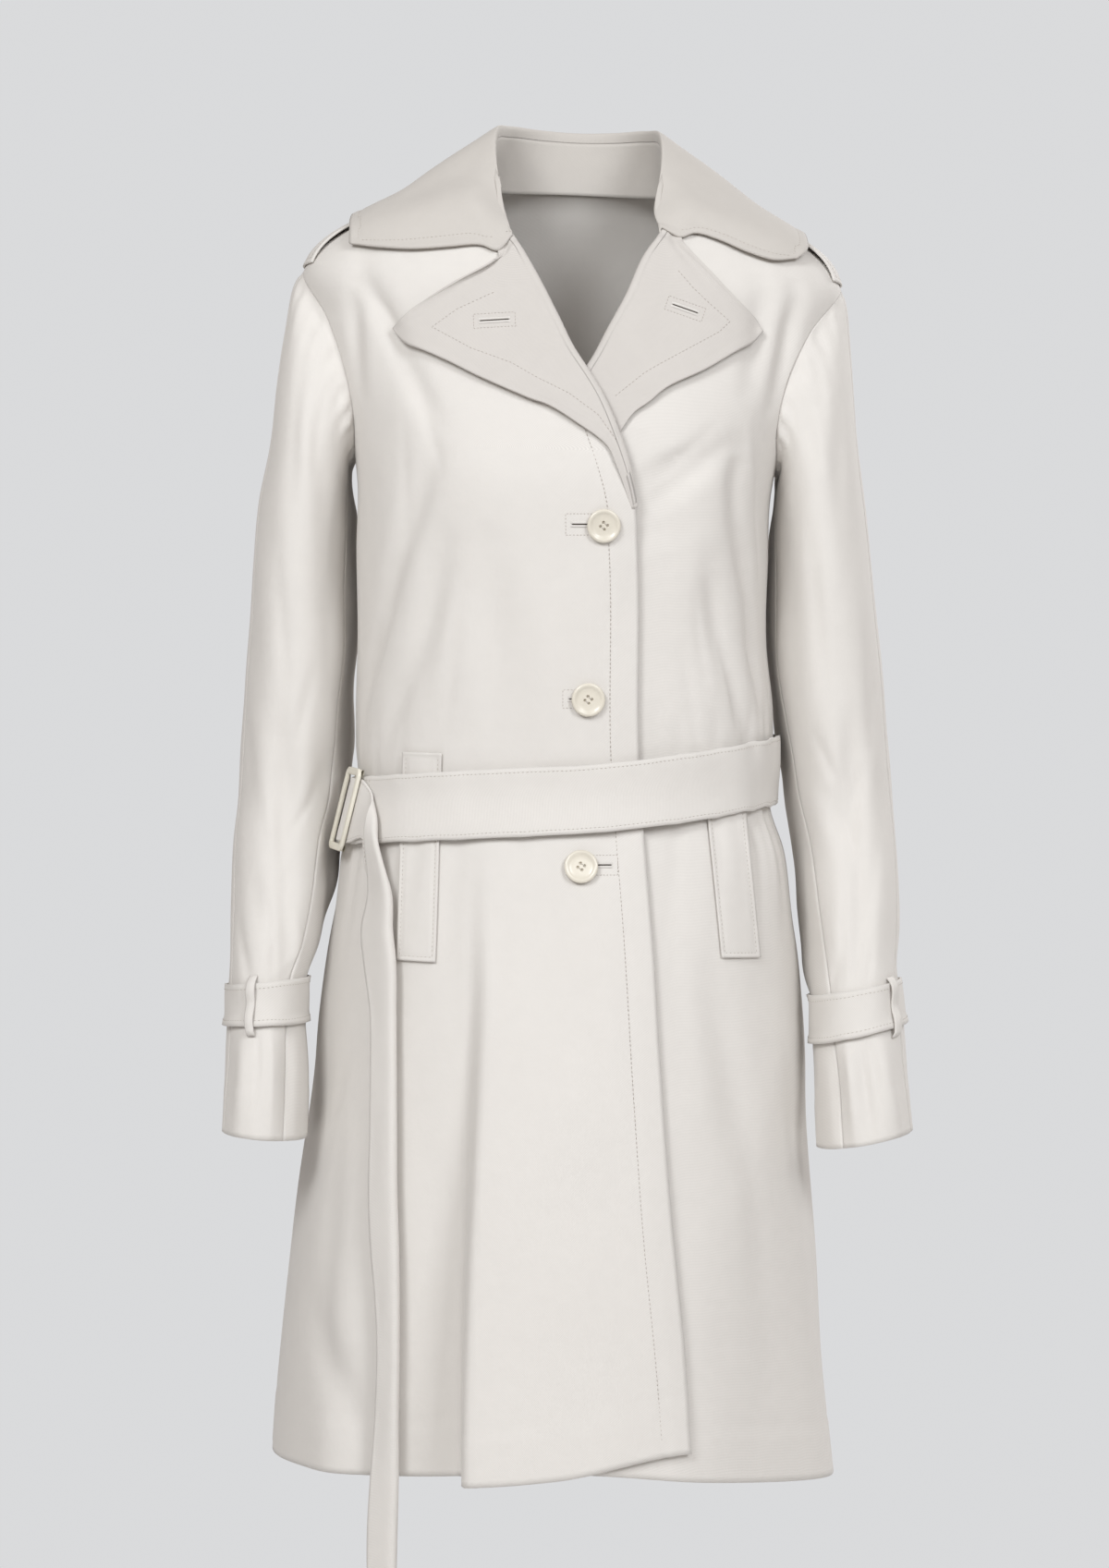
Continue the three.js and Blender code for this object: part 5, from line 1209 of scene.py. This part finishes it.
def straightBar(half, count, y, z):
    # a bar's path along x (y given) or across it (y None)
    run, still = np.linspace(-half, half, count), np.zeros(count)
    return np.stack([still, run, still + z] if y is None else [run, still + y, still + z], -1)


bar, foot, radius = buckleSizes["bar"], buckleSizes["foot"], buckleSizes["corner"]
halfX, halfY = (buckleSizes["width"] - bar) / 2, (buckleSizes["height"] - bar) / 2
corner = np.linspace(0, np.pi / 2, buckleSizes["cornerSteps"])
frameZ = foot + buckleSizes["lift"] + buckleSizes["depth"] / 2
loop = np.concatenate([np.stack([sx * (halfX - radius) + radius * np.cos(start + corner),
                                 sy * (halfY - radius) + radius * np.sin(start + corner),
                                 0 * corner + frameZ], -1)
                       for sx, sy, start in ((1, 1, 0), (-1, 1, np.pi / 2),
                                             (-1, -1, np.pi), (1, -1, 1.5 * np.pi))])
bars = [roundedBar(loop, bar / 2, buckleSizes["depth"] / 2, True),
        roundedBar(straightBar(*buckleSizes["middle"], None, foot + 0.75), (bar - 1) / 2, 0.75)]
for y in (-halfY, halfY):  # the lower bars that carry the frame clear of the belt
    bars.append(roundedBar(straightBar(*buckleSizes["lower"], y, foot + 1), bar / 2 - 0.3, 1))
points, faces = joined(bars)
buckle = makeMesh("belt_buckle_body", onBuckle(points), faces, None, buckleIvory)
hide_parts("belt_buckle")

# the tail: over the middle bar, under the frame's side, turned down and folded in half
# along and out in the buckle's axes; then x, z and height over the coat; then z and both edges' x
tailInBuckle = [(-8.3, -0.3), (-5.5, 1.4), (-2.9, 4), (0, 4.4), (2.9, 4.1), (6.5, 2.8),
                (11, 1.6), (17, 1.3)]
tailTurning = [
    [(-151, -478, 8.6), (-149.5, -470, 8.8), (-147, -461, 9), (-145, -453, 9.2), (-144, -445, 9)],
    [(-150.5, -485, 8), (-146, -480, 8.6), (-141, -472, 10), (-139.5, -463, 12),
     (-141.5, -457, 13.5)],
    [(-151, -496, 6), (-144, -494, 7.6), (-138, -486, 10.6), (-138, -476, 13.6),
     (-144, -472, 13.6)]]
tailHang = [(-515, -151.5, -136), (-541, -156, -135), (-565, -154, -132.5), (-602, -149, -132),
            (-640, -148, -131.5), (-680, -148.5, -131), (-722, -149, -130.5), (-765, -147, -129),
            (-800, -144, -128.5), (-840, -142, -128.5), (-880, -143.5, -129), (-925, -147, -129),
            (-968, -149, -130), (-1014, -149, -131), (-1058, -149, -131)]
tailSection = np.array([(0.06, 3), (0.9, 8), (1, 11), (0.9, 14), (0, 9)])
hang = beltSizes["hangRow"]
tailRows = []
for x, out in tailInBuckle:
    widths = np.linspace(-0.5, 0.5, 5) * beltSizes["tailWidth"]
    tailRows.append(onBuckle([(x, width, out) for width in widths]))
for row in tailTurning:
    tailRows.append(frontSkin(*np.array(row, float).T))
for z, leftX, rightX in tailHang:
    x, out = mix(leftX, rightX, tailSection[:, 0]), tailSection[:, 1]
    skin = frontSkin(x, np.full(5, max(z, hemLevel + 8), float), 0)
    tailRows.append(np.stack([x, skin[:, 1] - out, np.full(5, float(z))], -1))
downTail = np.linspace(0, 1, beltSizes["tailRows"])
acrossTail = np.linspace(0, 1, beltSizes["tailColumns"])
tailGrid = np.swapaxes(through(np.array(tailRows), downTail), 0, 1)
tailGrid = np.swapaxes(through(tailGrid, acrossTail), 0, 1)
(waver, waves), (waverMiddle, waverWidth) = beltSizes["waver"], beltSizes["waverPlace"]
nearEdge = bell(acrossTail[None, :] - waverMiddle, waverWidth)
waver = waver * np.sin(waves * downTail)[:, None] * nearEdge
tailGrid = tailGrid + gridNormals(tailGrid) * waver[..., None]
clothPiece("belt_tail_cloth", tailGrid, beltCloth, ["belt_tail"],
           thickness=beltSizes["tailThickness"])
tailNormals = gridNormals(tailGrid)
for column in beltSizes["tailStitches"]:
    stitchLine("belt", tailGrid[hang:, column], tailNormals[hang:, column])
print("belt ready")

# inner is the column that a line of stitches runs in; line is x and z of the top and the foot
weltSizes = {"width": 28, "length": 148, "clear": 1.2, "thickness": 1, "rows": 90, "columns": 24,
             "seam": 2.6, "inner": {left: 21, right: 2},
             "line": {left: (-112, -414, -116, -563), right: (101, -414, 115, -561)}}
for side, name in wearerSides:
    topX, topZ, footX, footZ = weltSizes["line"][side]
    down = np.linspace(0, 1, weltSizes["rows"])[:, None]
    across = np.linspace(-0.5, 0.5, weltSizes["columns"])[None, :]
    height = mix(topZ + lean * topX, footZ + lean * footX, down) + 0 * across
    angle = edgeAngle(mix(topX, footX, down) + across * weltSizes["width"], height)
    fromEnd = np.minimum(down, 1 - down) * weltSizes["length"]
    edge = np.minimum((0.5 - np.abs(across)) * weltSizes["width"], fromEnd)
    out = weltSizes["clear"] + weltSizes["thickness"] + freeEdge(edge, weltSizes["seam"])
    if side == right:
        out = out - underSink(angle, height)
    grid = coatSkin(angle, height, out)
    clothPiece(f"pocket_welt_{name}_cloth", grid, gabardine, [f"pocket_welt_{name}"],
               thickness=weltSizes["thickness"])
    normals, inner = gridNormals(grid), weltSizes["inner"][side]
    stitchLine("body", grid[2:-2, inner], normals[2:-2, inner])
    stitchLine("body", grid[-3, 2:-2], normals[-3, 2:-2])
    outer = weltSizes["columns"] - 1 - inner
    stitchLine("body", grid[2:-2, outer], normals[2:-2, outer])
print("pockets ready")

# the front edge's stitching and the bound buttonholes: x, z, length, height
frontStitches = {"top": -150, "foot": -890, "steps": 420}
heights = np.linspace(frontStitches["top"], frontStitches["foot"], frontStitches["steps"])
lapInside = edgeAngle(lapEdge(heights, "x") - edgeSizes["front"], heights)
lapPath = coatSkin(lapInside, heights, np.full(len(heights), stitchRise))
stitchLine("body", lapPath, coatNormal(lapInside, heights))
buttonholes = [(4, -253, 21, 15), (2, -376.5, 21, 13), (13, -494.5, 21, 14)]
for number, hole in enumerate(buttonholes, 1):
    boundButtonhole(f"front_buttonhole_{number}", onFront, *hole)

buttonSizes = {"hole": (0.78, 1.12), "circle": 2.5, "twist": 12, "sunk": 1.6, "dish": (5, 1.85, 34),
               "profile": 90, "columns": 112, "upperRows": 40,
               "places": [(17, -254, 0.6), (6, -377, 0.6), (1, -496, 1.3)]}  # x, z, over the cloth
buttonProfile = np.array([(0, 1.85, 0), (4, 1.85, 0), (6.6, 1.95, 0), (8.2, 2.3, 0), (9.6, 3.0, 0),
                          (10.5, 3.2, 0), (11.3, 2.95, 0), (11.85, 2.4, 0), (12, 1.7, 0),
                          (11.7, 0.9, 0), (10.8, 0.25, 0), (9, 0, 0), (0, 0, 0)])
threadLoop = {"radius": 0.3, "foot": 0.75, "arch": 1.25, "rows": 14, "columns": 8}


def buttonGrid():
    # a lathed profile r(s), h(s), with the four holes sunk into its dish by a steep smooth step
    size = buttonSizes
    profile = through(buttonProfile, np.linspace(0, 1, size["profile"]))
    dishEnd, dishHeight, dishRows = size["dish"]
    dish = np.stack([np.linspace(0.02, dishEnd, dishRows), np.full(dishRows, dishHeight),
                     np.zeros(dishRows)], -1)
    profile = np.concatenate([dish, profile[profile[:, 0] > dishEnd + 0.05]])
    turn = np.linspace(0, 2 * np.pi, size["columns"], endpoint=False)
    x, y = profile[:, :1] * np.cos(turn), profile[:, :1] * np.sin(turn)
    holes = np.zeros_like(x)
    for at in np.radians(size["twist"] + 90 * np.arange(4)):
        away = np.hypot(x - size["circle"] * np.cos(at), y - size["circle"] * np.sin(at))
        holes = np.maximum(holes, 1 - smooth(away, *size["hole"]))
    upper = np.arange(len(profile))[:, None] < size["upperRows"]
    return np.stack([x, y, profile[:, 1:2] - np.where(upper, holes * size["sunk"], 0)], -1)


def threadStrand(pair):
    # a round strand between two neighbouring holes, with a flat-topped arch
    size = threadLoop
    at = np.radians(buttonSizes["twist"] + 90 * np.array([pair, pair + 1]))
    ends = np.stack([np.cos(at), np.sin(at)], -1) * buttonSizes["circle"]
    along = np.linspace(0, 1, size["rows"])[:, None]
    lift = size["foot"] + size["arch"] * np.sin(np.pi * along) ** 0.35
    path = np.concatenate([mix(ends[0], ends[1], along), lift], -1)
    turn = np.linspace(0, 2 * np.pi, size["columns"], endpoint=False)
    ahead = unit(ends[1] - ends[0])
    section = np.stack([-ahead[1] * np.cos(turn), ahead[0] * np.cos(turn), np.sin(turn)], -1)
    rings = path[:, None] + size["radius"] * section[None]
    return rings.reshape(-1, 3), gridQuads(size["rows"], size["columns"], True)


buttonPoints = buttonGrid()
buttonQuads = gridQuads(*buttonPoints.shape[:2], True)
threadPoints, threadQuads = joined([threadStrand(pair) for pair in (0, 2)])
for number, (x, z, out) in enumerate(buttonSizes["places"], 1):
    angle, height = frontPlace(np.array([x], float), np.array([z], float))
    normal = coatNormal(angle, height)[0]
    middle = coatSkin(angle, height, np.array([out]))[0]
    turnTo = np.array(Vector((0, 0, 1)).rotation_difference(Vector(normal)).to_matrix()).T
    points = buttonPoints.reshape(-1, 3) @ turnTo + middle
    button = makeMesh(f"button_{number}_disc", points, buttonQuads, None, ivory)
    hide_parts(f"button_{number}")
    points = threadPoints @ turnTo + middle
    holding = makeMesh(f"button_{number}_thread", points, threadQuads, None, thread)
print("buttons ready")

for group, lines in stitches.items():
    piece = makeMesh(f"stitching_{group}", *joined(lines), None, thread)
print("stitching ready")

stageSizes = {"floor": -1.5, "half": 1.9}
roomLight, roomStrength = (1.0, 0.93, 0.88, 1), 0.36
roomColour = (0.70, 0.705, 0.715, 1)  # the pale room as the camera sees it past the floor

half, floorZ = stageSizes["half"], stageSizes["floor"]
floorMesh = bpy.data.meshes.new("floor")
floorMesh.from_pydata([(-half, -half, floorZ), (half, -half, floorZ),
                       (half, half, floorZ), (-half, half, floorZ)], [], [(0, 1, 2, 3)])
floor = bpy.data.objects.new("floor", floorMesh)
bpy.context.scene.collection.objects.link(floor)
floorMesh.materials.append(plainMaterial("floor_finish", (0.78, 0.78, 0.78), 0.8, 0, 2, 0.01, 0))

bpy.context.scene.view_settings.view_transform = "Standard"
world = bpy.data.worlds.new("soft_room")
bpy.context.scene.world = world
world.use_nodes = True
worldNodes, worldLinks = world.node_tree.nodes, world.node_tree.links
lighting = worldNodes["Background"]
lighting.inputs["Color"].default_value = roomLight
lighting.inputs["Strength"].default_value = roomStrength
seen = worldNodes.new("ShaderNodeBackground")
seen.inputs["Color"].default_value = roomColour
ray = worldNodes.new("ShaderNodeLightPath")
either = worldNodes.new("ShaderNodeMixShader")
worldLinks.new(ray.outputs["Is Camera Ray"], either.inputs["Fac"])
worldLinks.new(lighting.outputs["Background"], either.inputs[1])
worldLinks.new(seen.outputs["Background"], either.inputs[2])
worldLinks.new(either.outputs["Shader"], worldNodes["World Output"].inputs["Surface"])


def softLight(name, place, target, size, power, colour=(1, 1, 1)):
    # a rectangular lamp at a place, turned towards a target
    light = bpy.data.lights.new(name, "AREA")
    light.shape, light.size, light.size_y = "RECTANGLE", size[0], size[1]
    light.energy, light.color = power, colour
    lamp = bpy.data.objects.new(name, light)
    bpy.context.scene.collection.objects.link(lamp)
    lamp.location = place
    lamp.rotation_euler = (Vector(target) - Vector(place)).to_track_quat("-Z", "Y").to_euler()


softLight("left_softbox", (-1.7, -3.0, 1.75), (0, 0, -0.35), (1.2, 1.4), 74, (0.95, 0.98, 1))
softLight("right_softbox", (1.9, -3.0, 1.4), (0, 0, -0.4), (1.2, 1.4), 63, (0.93, 0.965, 1))
softLight("rear_softbox", (2.3, 2.3, 0.9), (0, 0, -0.4), (1.2, 1.4), 46)
softLight("front_softbox", (-0.3, -3.2, 0.9), (0, 0, -0.4), (1.0, 1.0), 11)

print("scene ready")
